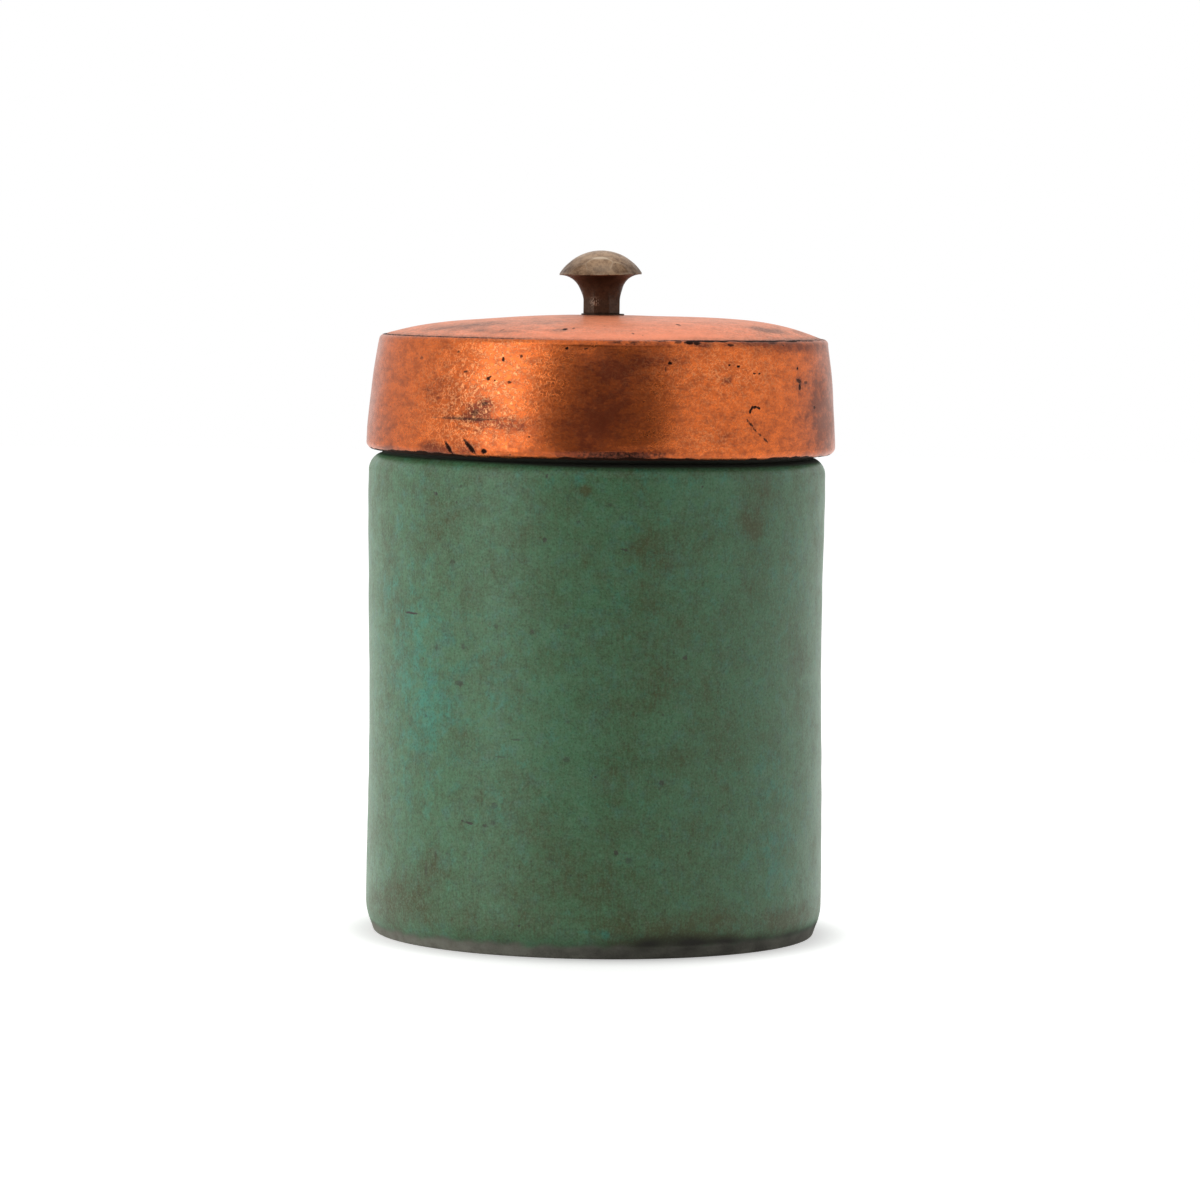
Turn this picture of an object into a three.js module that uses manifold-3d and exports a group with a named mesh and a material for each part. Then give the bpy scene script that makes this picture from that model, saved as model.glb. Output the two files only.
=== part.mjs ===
// Small stoneware storage jar with a loose copper lid and a mushroom knob.
//
// The jar is one thrown piece: a foot ring, a wall that draws in slightly at mid-height, a rounded
// shoulder and a plain neck. The lid is a flared copper band with a turned-in hem and a rounded top
// edge. A low domed crown closes it: it lies on the band's inner flange, inside that edge. The lid
// drops over the neck until the flange rests on the rim. A bronze knob stands on a thin washer on the
// crown, and its tail is held underneath by a washer and a nut.
//
// Millimetres, +Z up. The origin is the centre of the foot, on the surface the jar stands on.

import * as THREE from "three";
import { mergeVertices } from "three/addons/utils/BufferGeometryUtils.js";
import Module from "manifold-3d";

const wasm = await Module();
wasm.setup();

// Driving sizes of the jar
const jarRadius = 54.9; // just below the shoulder, and just above the foot
const waistDepth = 0.5; // how far the wall draws in at mid-height
const shoulderHeight = 115.2;
const shoulderRound = 4.5;
const wall = 5;
const floorThickness = 7;
const floorFillet = 9; // inside, where the floor meets the wall
const footInset = 1.75; // the wall draws in by this much to the foot
const footTaperHeight = 7.5;
const footEdgeRound = 0.8;
const footRingWidth = 6;
const footRecess = 1.6; // depth of the hollow inside the foot ring
const neckSetback = 3.4; // from the wall to the neck
const neckWall = 4.2;
const neckFillet = 0.8; // between the shoulder and the neck
const throatLength = 9; // inside, where the wall closes in to the neck

// Driving sizes of the lid
const sheet = 1.0; // thickness of the copper
const skirtClearance = 1.3; // between the neck and the top of the skirt
const skirtHeight = 27.65; // from the lower edge of the hem to the edge of the crown
const skirtFlare = 2.7; // how far the skirt spreads from top to hem
const skirtBulge = 0.3; // how far its side bows outwards between them
const hemRound = 2.2; // outside radius of the lower edge, which is turned in towards the jar
const hemTurn = 80; // degrees that it is turned through
const hemAboveShoulder = 0.5;
const skirtTopRound = 1.4; // the skirt's top edge is rounded over to the edge of the crown
const flangeWidth = 5.6; // from the skirt's side to the inner edge of the flange under the crown
const crownArcRadius = 445; // the flat middle of the dome
const knuckleWidth = 18.3; // the tighter curve round the edge of the dome
const knuckleRadius = 73;
const seatMargin = 0.6; // the flat spot under the knob reaches this far past its backing washer
const solderFilm = 0.1; // between the crown and the skirt
const restGap = 0.3; // between the rim and the flange that rests on it

// Driving sizes of the knob and its fastening
const stemRadius = 4.7; // to the corners between its filed flats
const stemFlats = 8;
const stemHeight = 2.9; // the straight part of the stem
const flareHeight = 6.4; // the hollow curve from the stem out to the cap
const flarePower = 1.2; // above 1, the curve stays closer to the stem
const capRadius = 9.85;
const capHeight = 5.8;
const capEdge = 0.4; // height of the upright edge of the cap
const capFlats = 10; // in each of the two rings of flats on the cap
const capFlatDepth = 0.14;
const tailRadius = 2.5;
const tailPastNut = 0.5;
const tailClearance = 0.2; // in the crown and the washers
const threadClearance = 0.06; // in the nut
const washerRadius = 5.2;
const washerThickness = 0.4;
const backingRadius = 7.5;
const backingThickness = 0.9;
const nutAcrossFlats = 8;
const nutHeight = 3.6;

// Facets
const roundSteps = 56;
const smallSteps = 32;

// What the driving sizes lead to
const neckRadius = jarRadius - neckSetback;
const cavityRadius = jarRadius - wall;
const boreRadius = neckRadius - neckWall;
const lidBase = shoulderHeight + hemAboveShoulder;
const skirtTopRadius = neckRadius + skirtClearance + sheet;
const crownSeatRadius = skirtTopRadius - skirtTopRound; // inside the skirt's rounded top edge
const crownRadius = crownSeatRadius - solderFilm;
const rimRound = neckWall / 2;
const rimRadius = neckRadius - rimRound; // centre line of the rounded rim
const knobSeatRadius = backingRadius + seatMargin; // the flattened spot that the knob stands on

const stoneware = new THREE.MeshStandardMaterial({ color: 0x4f7a5c, roughness: 0.55, metalness: 0 });
const copper = new THREE.MeshStandardMaterial({ color: 0xb8683a, roughness: 0.42, metalness: 1 });
const bronze = new THREE.MeshStandardMaterial({ color: 0x6e6250, roughness: 0.4, metalness: 1 });
const brass = new THREE.MeshStandardMaterial({ color: 0x9a7d42, roughness: 0.45, metalness: 1 });

// Points of an arc in a profile. Angles are in degrees from the outward direction, anticlockwise.
function arc(radius, height, round, from, to, steps) {
  return Array.from({ length: steps + 1 }, (_, i) => {
    const angle = THREE.MathUtils.degToRad(from + ((to - from) * i) / steps);
    return [radius + round * Math.cos(angle), height + round * Math.sin(angle)];
  });
}

// Points of a curve given as a function of t from 0 to 1.
function curve(pointAt, steps) {
  return Array.from({ length: steps + 1 }, (_, i) => pointAt(i / steps));
}

// A soft step from 0 to 1.
function smooth(t) {
  return (1 - Math.cos(Math.PI * t)) / 2;
}

// Turns a profile of [radius, height] points about the Z axis.
function turned(profile, steps) {
  const points = profile.map(([radius, height]) => new THREE.Vector2(Math.max(radius, 0), height));
  return new THREE.LatheGeometry(points, steps).rotateX(Math.PI / 2);
}

// A turned ring, whose profile closes on itself.
function turnedRing(profile, steps) {
  return turned([...profile, profile[0]], steps);
}

function flatRing(inner, outer, low, high, steps) {
  const corners = [
    [inner, low],
    [outer, low],
    [outer, high],
    [inner, high],
  ];
  return turnedRing(corners, steps);
}

function solidOf(geometry) {
  const bare = geometry.clone();
  bare.deleteAttribute("normal");
  bare.deleteAttribute("uv");
  const merged = mergeVertices(bare, 1e-4);
  return new wasm.Manifold(
    new wasm.Mesh({
      numProp: 3,
      vertProperties: merged.attributes.position.array,
      triVerts: new Uint32Array(merged.index.array),
    }),
  );
}

function geometryOf(solid) {
  const mesh = solid.getMesh();
  const geometry = new THREE.BufferGeometry();
  geometry.setAttribute("position", new THREE.BufferAttribute(mesh.vertProperties, 3));
  geometry.setIndex(new THREE.BufferAttribute(mesh.triVerts, 1));
  geometry.computeVertexNormals();
  return geometry;
}

function named(name, geometry, material) {
  const mesh = new THREE.Mesh(geometry, material);
  mesh.name = name;
  return mesh;
}

// How far the crown's upper face drops from its middle. The middle is a wide flat arc, and the
// knuckle is a tighter arc that leaves it without a corner.
const knuckleStart = crownRadius - knuckleWidth;
const knuckleSine = knuckleStart / crownArcRadius;
const knuckleCosine = Math.sqrt(1 - knuckleSine ** 2);

function crownSine(radius) {
  if (radius <= knuckleStart) return radius / crownArcRadius;
  return knuckleSine + (radius - knuckleStart) / knuckleRadius;
}

function crownDrop(radius) {
  const cosine = Math.sqrt(1 - crownSine(radius) ** 2);
  if (radius <= knuckleStart) return crownArcRadius * (1 - cosine);
  return crownArcRadius * (1 - knuckleCosine) + knuckleRadius * (knuckleCosine - cosine);
}

// Heights in the lid's own frame, whose zero is the lower edge of the hem
const crownPeak = skirtHeight + crownDrop(crownRadius) - crownDrop(knobSeatRadius);

function crownTop(radius) {
  return crownPeak + crownDrop(knobSeatRadius) - crownDrop(Math.max(radius, knobSeatRadius));
}

// The copper measured straight down, which is more than its thickness where the dome slopes
function plumbThickness(radius) {
  if (radius <= knobSeatRadius) return sheet;
  return sheet / Math.sqrt(1 - crownSine(radius) ** 2);
}

function crownUnderside(radius) {
  return crownTop(radius) - plumbThickness(radius);
}

function flangeUnderside(radius) {
  return crownUnderside(radius) - solderFilm - plumbThickness(radius);
}

// The rim stands where its rounded top comes within restGap of the sloping flange.
const flangeCosine = Math.sqrt(1 - crownSine(rimRadius) ** 2);
const rimCentre = lidBase + flangeUnderside(rimRadius) - (rimRound + restGap) / flangeCosine;

function jarWallRadius(height) {
  const low = footTaperHeight;
  const high = shoulderHeight - shoulderRound;
  const share = THREE.MathUtils.clamp((height - low) / (high - low), 0, 1);
  return jarRadius - waistDepth * Math.sin(Math.PI * share) ** 2;
}

function jarBody() {
  const footRadius = jarRadius - footInset;
  const ringInner = footRadius - footRingWidth;
  const under = [
    [0, footRecess],
    [ringInner - footRecess, footRecess],
    [ringInner, 0],
  ];
  const footEdge = arc(footRadius - footEdgeRound, footEdgeRound, footEdgeRound, -90, -10, 4);
  const taperStart = footEdge[footEdge.length - 1];
  const taper = curve((t) => {
    const radius = THREE.MathUtils.lerp(taperStart[0], jarRadius, Math.sin((Math.PI / 2) * t));
    return [radius, THREE.MathUtils.lerp(taperStart[1], footTaperHeight, t)];
  }, 5).slice(1);
  const wallTop = shoulderHeight - shoulderRound;
  const side = curve((t) => {
    const height = THREE.MathUtils.lerp(footTaperHeight, wallTop, t);
    return [jarWallRadius(height), height];
  }, 8).slice(1);

  // The shoulder's round runs in until it reaches the fillet at the foot of the neck.
  const roundCentre = jarRadius - shoulderRound;
  const ledgeEnd = neckRadius + neckFillet;
  const reach = Math.max(ledgeEnd - roundCentre, 0);
  const lastAngle = THREE.MathUtils.radToDeg(Math.acos(Math.min(reach / shoulderRound, 1)));
  const shoulder = arc(roundCentre, wallTop, shoulderRound, 0, lastAngle, 6).slice(1);
  const ledge = shoulder[shoulder.length - 1][1];
  const root = arc(ledgeEnd, ledge + neckFillet, neckFillet, 270, 180, 3);
  const rootSide = ledge < shoulderHeight ? root.slice(1) : root;
  const rim = arc(rimRadius, rimCentre, rimRound, 0, 180, 8);

  // Inside, the throat narrows from the cavity to the neck's bore.
  const throatLow = shoulderHeight - shoulderRound - throatLength / 2;
  const throat = curve((t) => {
    const radius = THREE.MathUtils.lerp(boreRadius, cavityRadius, smooth(t));
    return [radius, throatLow + throatLength * (1 - t)];
  }, 5);
  const hollow = arc(cavityRadius - floorFillet, floorThickness + floorFillet, floorFillet, 0, -90, 5);
  const profile = [
    ...under,
    ...footEdge,
    ...taper,
    ...side,
    ...shoulder,
    ...rootSide,
    ...rim,
    ...throat,
    ...hollow,
    [0, floorThickness],
  ];
  return named("jar_body", turned(profile, roundSteps), stoneware);
}

// The crown is a dished disc of copper, flush with the skirt's top edge.
function lidCrown() {
  const hole = tailRadius + tailClearance;
  const domed = curve((t) => {
    return THREE.MathUtils.lerp(knobSeatRadius, crownRadius, Math.sin((Math.PI / 2) * t));
  }, 11);
  const radii = [hole, ...domed];
  const top = radii.map((radius) => [radius, crownTop(radius)]).reverse();
  const under = radii.map((radius) => [radius, crownUnderside(radius)]);
  return named("lid_crown", turnedRing([...under, ...top], roundSteps), copper);
}

// The skirt is one strip: a flared band, a rounded top edge that stands round the crown, a flange
// that carries the crown, and a hem turned in at the bottom.
function lidSkirt() {
  const hemRadius = skirtTopRadius + skirtFlare;
  const bandTop = skirtHeight - skirtTopRound;
  const bandRadius = (height) => {
    const t = THREE.MathUtils.clamp((height - hemRound) / (bandTop - hemRound), 0, 1);
    return hemRadius - skirtFlare * t + skirtBulge * Math.sin(Math.PI * t);
  };
  const outerHeights = curve((t) => THREE.MathUtils.lerp(hemRound, bandTop, t), 7);
  const outer = outerHeights.map((height) => [bandRadius(height), height]);
  const topEdge = arc(crownSeatRadius, bandTop, skirtTopRound, 0, 90, 3).slice(1);

  const flangeEnd = skirtTopRadius - flangeWidth;
  const flangeRadii = curve((t) => THREE.MathUtils.lerp(crownSeatRadius, flangeEnd, t), 3);
  const flangeTop = flangeRadii.map((radius) => [radius, crownUnderside(radius) - solderFilm]);
  const flangeBottom = flangeRadii.map((radius) => [radius, flangeUnderside(radius)]).reverse();

  const innerTop = flangeUnderside(crownSeatRadius) - sheet;
  const innerHeights = curve((t) => THREE.MathUtils.lerp(innerTop, hemRound, t), 6);
  const inner = innerHeights.map((height) => [bandRadius(height) - sheet, height]);
  const hemCentre = [hemRadius - hemRound, hemRound];
  const hemInside = arc(...hemCentre, hemRound - sheet, 0, -hemTurn, 4).slice(1);
  const hemOutside = arc(...hemCentre, hemRound, -hemTurn, 0, 5).slice(0, -1);
  const band = [...outer, ...topEdge];
  const profile = [...band, ...flangeTop, ...flangeBottom, ...inner, ...hemInside, ...hemOutside];
  return named("lid_skirt", turnedRing(profile, roundSteps), copper);
}

// Heights of the knob's stack, in the lid's frame
const washerTop = crownPeak + washerThickness;
const backingTop = crownPeak - sheet;
const nutTop = backingTop - backingThickness;
const nutBottom = nutTop - nutHeight;
const tailEnd = nutBottom - tailPastNut;

const stemTop = washerTop + stemHeight;
const capUnder = stemTop + flareHeight;

// The cap is part of a sphere that springs from its upright edge.
const domeHeight = capHeight - capEdge;
const domeRound = (capRadius ** 2 + domeHeight ** 2) / (2 * domeHeight);
const domeCentre = capUnder + capHeight - domeRound;

function knobProfile() {
  const flare = curve((t) => {
    const angle = (Math.PI / 2) * t;
    const radius = THREE.MathUtils.lerp(stemRadius, capRadius, (1 - Math.cos(angle)) ** flarePower);
    return [radius, stemTop + flareHeight * Math.sin(angle)];
  }, 9);
  const domeStart = THREE.MathUtils.radToDeg(Math.acos(capRadius / domeRound));
  return [
    [0, tailEnd],
    [tailRadius, tailEnd],
    [tailRadius, washerTop],
    [stemRadius, washerTop],
    ...flare,
    ...arc(0, domeCentre, domeRound, domeStart, 90, 8),
  ];
}

// Draws the round stem in to a prism. The flats fade out in the flare, where the file ran off.
function fileStem(geometry) {
  const place = geometry.attributes.position;
  const side = (2 * Math.PI) / stemFlats;
  for (let i = 0; i < place.count; i++) {
    const radius = Math.hypot(place.getX(i), place.getY(i));
    const height = place.getZ(i);
    const fade = THREE.MathUtils.clamp((height - stemTop) / (flareHeight / 2), 0, 1);
    if (radius < (tailRadius + stemRadius) / 2 || fade === 1) continue;
    const turn = Math.atan2(place.getY(i), place.getX(i)) / side;
    const fromFlat = (turn - Math.round(turn)) * side;
    const prism = Math.cos(side / 2) / Math.cos(fromFlat);
    const scale = THREE.MathUtils.lerp(prism, 1, smooth(fade));
    place.setXY(i, place.getX(i) * scale, place.getY(i) * scale);
  }
  return geometry;
}

// A block whose lower face shaves one flat from the dome of the cap. Tilt is that of the flat's
// outward direction over the horizontal, and turn is its bearing, both in degrees.
function flatCutter(tilt, turn) {
  const width = 2 * capRadius;
  const block = new THREE.BoxGeometry(width, width, capRadius);
  block.translate(0, 0, domeRound - capFlatDepth + capRadius / 2);
  block.rotateY(THREE.MathUtils.degToRad(90 - tilt));
  block.rotateZ(THREE.MathUtils.degToRad(turn));
  block.translate(0, 0, domeCentre);
  return solidOf(block);
}

function knob() {
  const pitch = 360 / capFlats;
  const rings = [
    { tilt: 38, first: -90 },
    { tilt: 51, first: -90 + pitch / 2 },
  ];
  let solid = solidOf(fileStem(turned(knobProfile(), smallSteps)));
  for (const { tilt, first } of rings) {
    for (let i = 0; i < capFlats; i++) {
      solid = solid.subtract(flatCutter(tilt, first + i * pitch));
    }
  }
  return named("knob", geometryOf(solid), bronze);
}

function knobWasher() {
  const geometry = flatRing(tailRadius + tailClearance, washerRadius, crownPeak, washerTop, smallSteps);
  return named("knob_washer", geometry, bronze);
}

function backingWasher() {
  const hole = tailRadius + tailClearance;
  const geometry = flatRing(hole, backingRadius, nutTop, backingTop, smallSteps);
  return named("backing_washer", geometry, brass);
}

function knobNut() {
  const cornerRadius = nutAcrossFlats / Math.sqrt(3);
  const outline = new THREE.Shape();
  for (let i = 0; i < 6; i++) {
    const angle = (Math.PI / 3) * i;
    const place = [cornerRadius * Math.cos(angle), cornerRadius * Math.sin(angle)];
    if (i === 0) outline.moveTo(...place);
    else outline.lineTo(...place);
  }
  outline.closePath();
  const bore = new THREE.Path().absarc(0, 0, tailRadius + threadClearance, 0, 2 * Math.PI, true);
  outline.holes.push(bore);
  const geometry = new THREE.ExtrudeGeometry(outline, {
    depth: nutHeight,
    bevelEnabled: false,
    curveSegments: smallSteps / 2,
  });
  const mesh = named("knob_nut", geometry, brass);
  mesh.position.z = nutBottom;
  return mesh;
}

const jar = new THREE.Group();
jar.name = "jar";
jar.add(jarBody());

const lid = new THREE.Group();
lid.name = "lid";
lid.position.z = lidBase;
lid.add(lidCrown(), lidSkirt(), knob(), knobWasher(), backingWasher(), knobNut());

const canister = new THREE.Group();
canister.name = "canister";
canister.add(jar, lid);

export default canister;
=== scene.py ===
"""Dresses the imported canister: a thrown stoneware jar, a tarnished copper lid and a filed bronze knob.

Lengths are in millimetres unless a name says otherwise, and they turn to metres where a mesh is written.
A bearing is the angle in degrees around the axis, 0 at the front (-Y) and growing towards +X.
"""

import logging
import math
from collections.abc import Sequence
from dataclasses import dataclass, field
from enum import Enum

import bpy
import numpy as np
from mathutils import Matrix, Vector


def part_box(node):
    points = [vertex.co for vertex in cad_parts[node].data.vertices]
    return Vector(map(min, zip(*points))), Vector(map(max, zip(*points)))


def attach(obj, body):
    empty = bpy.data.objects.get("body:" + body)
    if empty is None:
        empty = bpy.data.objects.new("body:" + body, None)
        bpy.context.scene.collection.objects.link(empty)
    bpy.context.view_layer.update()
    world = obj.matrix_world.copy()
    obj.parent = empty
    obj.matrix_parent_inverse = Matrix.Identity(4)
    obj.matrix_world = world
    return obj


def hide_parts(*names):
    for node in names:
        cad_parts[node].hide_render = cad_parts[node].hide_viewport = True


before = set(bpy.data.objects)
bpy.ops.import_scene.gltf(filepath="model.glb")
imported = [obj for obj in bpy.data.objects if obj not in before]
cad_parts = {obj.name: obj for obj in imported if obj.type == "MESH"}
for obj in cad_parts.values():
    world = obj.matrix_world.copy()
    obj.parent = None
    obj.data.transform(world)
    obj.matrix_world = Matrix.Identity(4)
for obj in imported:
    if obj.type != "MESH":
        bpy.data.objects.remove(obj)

LOG = logging.getLogger("canister")
MM = 0.001
MARK_EDGE = 2.0 / 3.0
NOISE_MIDDLE = 0.5
PHOTO_WIDTH_PX = 1200
WHITE = "#ffffff"

Socket = bpy.types.NodeSocket


class Closing(Enum):
    """How the rows of a turned surface end."""

    POLES = "on the axis at both ends"
    RING = "on themselves"


class Mask(Enum):
    """The soft covers that a mesh carries to its material, each from 0 to 1."""

    FILM = "film"
    TEAL = "teal"
    BARE = "bare"
    TARNISH = "tarnish"
    # This cover also lays the painted glints on the skirt's flakes.
    CRINKLE = "crinkle"
    # This cover also lays painted shade: under the lid on the jar, on the foot's right, along the hem and on
    # the knob's cap.
    GRIME = "grime"
    # This cover also lays painted light: on the knob's cap and on the crown in front of the knob.
    WORN = "worn"
    MARK = "mark"
    FORCE = "force"


@dataclass(frozen=True)
class Spot:
    """One patch, stain, pit or scratch on a turned wall.

    Attributes:
        bearing: where it lies around the wall, in degrees.
        height: where it lies above the foot, in mm. On the crown, its distance from the axis.
        wide: half its reach around the wall, in mm.
        tall: half its reach up the wall, in mm.
        strength: how much of it shows, from 0 to 1.
        turn: degrees that its long side rises to the right.
    """

    bearing: float
    height: float
    wide: float
    tall: float
    strength: float = 1.0
    turn: float = 0.0

    def sides(self, bearing: np.ndarray, place: np.ndarray, wall: float) -> tuple[np.ndarray, np.ndarray]:
        """Distances from its middle along its two sides, in half reaches.

        Args:
            bearing: bearings in degrees.
            place: heights above the foot, or distances from the axis.
            wall: the wall's radius, which turns bearings to mm.

        Returns:
            The distances along its wide side and along its tall side.
        """
        across = wall * np.radians((bearing - self.bearing + 180.0) % 360.0 - 180.0)
        up = place - self.height
        turn = math.radians(self.turn)
        wide = (across * math.cos(turn) + up * math.sin(turn)) / self.wide
        tall = (up * math.cos(turn) - across * math.sin(turn)) / self.tall
        return wide, tall


@dataclass(frozen=True)
class NodeBox:
    """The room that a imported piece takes.

    Attributes:
        radius: its reach from the axis.
        base: its lowest height.
        top: its highest height.
    """

    radius: float
    base: float
    top: float

    @classmethod
    def of(cls, node: str) -> "NodeBox":
        """Reads the room of the named node from the frame."""
        low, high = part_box(node)
        return cls(radius=high.x / MM, base=low.z / MM, top=high.z / MM)


def rise(low: float, high: float, value: np.ndarray) -> np.ndarray:
    """A soft step, 3t² - 2t³, from 0 at low to 1 at high."""
    t = np.clip((value - low) / (high - low), 0.0, 1.0)
    return t * t * (3.0 - 2.0 * t)


def bell(middle: float | np.ndarray, reach: float, value: np.ndarray) -> np.ndarray:
    """A soft hump, exp(-((value - middle) / reach)²), which is 1 at its middle."""
    return np.exp(-(((value - middle) / reach) ** 2))


def from_nearest(turn: np.ndarray, pitch: float) -> np.ndarray:
    """How far each angle lies from the nearest whole number of pitches."""
    return (turn / pitch - np.round(turn / pitch)) * pitch


def direction(bearing: float, tilt: float) -> np.ndarray:
    """The arrow of length 1 to a bearing and a tilt above level, both in degrees."""
    turn, up = math.radians(bearing), math.radians(tilt)
    return np.array((math.cos(up) * math.sin(turn), -math.cos(up) * math.cos(turn), math.sin(up)))


def straight(start: Sequence[float], end: Sequence[float], step: float) -> np.ndarray:
    """Points of a straight stretch of an outline: start + t (end - start).

    Args:
        start: its first point, as radius and height.
        end: its last point.
        step: about how far apart the points lie.

    Returns:
        The points, one a row.
    """
    first, last = np.asarray(start, float), np.asarray(end, float)
    count = max(1, round(float(np.linalg.norm(last - first)) / step))
    return first + np.linspace(0.0, 1.0, count + 1)[:, None] * (last - first)


def arc(centre: Sequence[float], radius: float, first: float, last: float, step: float) -> np.ndarray:
    """Points of a round stretch of an outline: centre + radius (cos a, sin a).

    Args:
        centre: its centre, as radius and height.
        radius: its own radius.
        first: the angle a at its first point, in degrees.
        last: the angle a at its last point.
        step: about how far apart the points lie.

    Returns:
        The points, one a row.
    """
    count = max(2, round(abs(math.radians(last - first)) * radius / step))
    angle = np.radians(np.linspace(first, last, count + 1))
    return np.asarray(centre, float) + radius * np.column_stack((np.cos(angle), np.sin(angle)))


def bent(*stops: Sequence[float]) -> np.ndarray:
    """Points of straight stretches in a chain.

    Args:
        *stops: where it starts, bends and ends, each as radius, height and the step after it.

    Returns:
        The points, one a row.
    """
    return outline(*(straight(a[:2], b[:2], a[2]) for a, b in zip(stops, stops[1:])))


def outline(*stretches: np.ndarray) -> np.ndarray:
    """Joins the stretches of an outline and drops the points that two of them share.

    Args:
        *stretches: the stretches, in their order.

    Returns:
        The points, one a row.
    """
    points = np.vstack(stretches)
    apart = np.linalg.norm(np.diff(points, axis=0), axis=1) > 1e-5
    return points[np.concatenate(([True], apart))]


def front_dense_bearings(columns: int, gather: float = 0.0) -> np.ndarray:
    """Bearings of a grid's columns, closer together at the front: 180 (t - gather sin(πt) / π)."""
    t = np.linspace(-1.0, 1.0, columns, endpoint=False)
    return 180.0 * (t - gather * np.sin(np.pi * t) / np.pi)


def scattered(seed: int, count: int, heights: tuple[float, float], reach: tuple[float, float]) -> list[Spot]:
    """Spots drawn at random over the back, which the front's own spots leave bare.

    Args:
        seed: settles the draw.
        count: how many spots.
        heights: the lowest and highest place.
        reach: the smallest and largest half reach.

    Returns:
        The spots.
    """
    draw = np.random.default_rng(seed)
    found = []
    for _ in range(count):
        wide, tall = draw.uniform(*reach), draw.uniform(*reach)
        place = draw.uniform(85.0, 275.0), draw.uniform(*heights)
        found.append(Spot(*place, wide, tall, draw.uniform(0.3, 0.8), draw.uniform(-40.0, 40.0)))
    return found


@dataclass
class Turned:
    """A surface turned about Z, held as a grid: rows follow its outline and columns go round it.

    Attributes:
        profile: the outline's points, as radius and height, counter-clockwise round the material.
        bearings: the columns' bearings.
        closing: how the rows end.
        wall: the radius that turns its bearings to mm.
        flat: whether places on it are told by their radius instead of their height.
        points: the grid, rows by columns by 3.
    """

    profile: np.ndarray
    bearings: np.ndarray
    closing: Closing
    wall: float = 1.0
    flat: bool = False
    points: np.ndarray = field(init=False)

    def __post_init__(self) -> None:
        """Places the grid: (radius sin bearing, -radius cos bearing, height)."""
        turn = np.radians(self.bearings)[None, :]
        radius, height = self.profile[:, :1], self.profile[:, 1:]
        places = (radius * np.sin(turn), -radius * np.cos(turn), height + 0.0 * turn)
        self.points = np.stack(places, axis=-1)

    @property
    def bearing(self) -> np.ndarray:
        """The bearing of each point of the grid."""
        return np.broadcast_to(self.bearings[None, :], self.points.shape[:2])

    @property
    def radius(self) -> np.ndarray:
        """The outline's radius at each point of the grid."""
        return np.broadcast_to(self.profile[:, :1], self.points.shape[:2])

    @property
    def height(self) -> np.ndarray:
        """The outline's height at each point of the grid."""
        return np.broadcast_to(self.profile[:, 1:], self.points.shape[:2])

    @property
    def place(self) -> np.ndarray:
        """Where each point lies along the outline, told by its height or, on a flat piece, its radius."""
        return self.radius if self.flat else self.height

    def waves(self, around: int, along: float, seed: int) -> np.ndarray:
        """An uneven field that meets itself at the back.

        The sum of cosine waves cos(k bearing + m place + phase), scaled to a spread of about 1. Each k
        is a whole number of waves in a turn, and each m is that of waves in a mm.

        Args:
            around: the most waves in a turn.
            along: the most waves in a mm.
            seed: settles the draw.

        Returns:
            The field at each point of the grid.
        """
        count = 20
        draw = np.random.default_rng(seed)
        turns = draw.integers(-around, around + 1, count)
        climbs = draw.uniform(-along, along, count) * 2.0 * np.pi
        phases = draw.uniform(0.0, 2.0 * np.pi, count)
        total = np.zeros(self.points.shape[:2])
        for k, m, phase in zip(turns, climbs, phases):
            total += np.cos(k * np.radians(self.bearing) + m * self.place + phase)
        return total / math.sqrt(count / 2.0)

    def cover(self, spots: Sequence[Spot], wall: float | None = None) -> np.ndarray:
        """Soft cover of a set of spots: the sum of strength exp(-(a² + b²)).

        a and b are the distances from the middle of a spot along its two sides, in half reaches.

        Args:
            spots: the spots.
            wall: the radius where they lie, if it isn't the piece's own.

        Returns:
            The cover, from 0 to 1.
        """
        total = np.zeros(self.points.shape[:2])
        for spot in spots:
            a, b = spot.sides(self.bearing, self.place, wall or self.wall)
            total += spot.strength * np.exp(-(a**2) - b**2)
        return np.clip(total, 0.0, 1.0)

    def nearness(self, spots: Sequence[Spot], wall: float | None = None) -> tuple[np.ndarray, np.ndarray]:
        """How near each place is to the nearest mark, which lets a coarse grid hold a crisp small mark.

        The nearness is 1 - d / 3, where d is the distance from a mark's middle in half reaches, so a
        mark's edge lies at 2/3.

        Args:
            spots: the marks.
            wall: the radius where they lie, if it isn't the piece's own.

        Returns:
            The nearness, and the strength of the mark that it belongs to.
        """
        near = np.zeros(self.points.shape[:2])
        force = np.zeros_like(near)
        for spot in spots:
            here = 1.0 - np.hypot(*spot.sides(self.bearing, self.place, wall or self.wall)) / 3.0
            force = np.where(here > near, spot.strength, force)
            near = np.maximum(near, here)
        return near, force

    def normals(self) -> np.ndarray:
        """Unit normals: the step round the axis crossed with the step along the outline.

        Returns:
            One normal a point of the grid.
        """
        around = np.roll(self.points, -1, axis=1) - np.roll(self.points, 1, axis=1)
        if self.closing is Closing.RING:
            along = np.roll(self.points, -1, axis=0) - np.roll(self.points, 1, axis=0)
        else:
            along = np.gradient(self.points, axis=0)
        normal = np.cross(around, along)
        return normal / np.maximum(np.linalg.norm(normal, axis=-1, keepdims=True), 1e-9)

    def swell(self, amount: np.ndarray) -> None:
        """Moves each point along its normal by an amount in mm."""
        self.points = self.points + self.normals() * amount[..., None]

    def _gathered(self, grid: np.ndarray) -> np.ndarray:
        """A grid's values as one row a vertex, with each pole's row as one vertex.

        Args:
            grid: a value or a row of values a point.

        Returns:
            The same, one a vertex.
        """
        if self.closing is Closing.RING:
            return grid.reshape(-1, *grid.shape[2:])
        middle = grid[1:-1].reshape(-1, *grid.shape[2:])
        return np.concatenate((grid[0, :1], middle, grid[-1, :1]))

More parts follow.
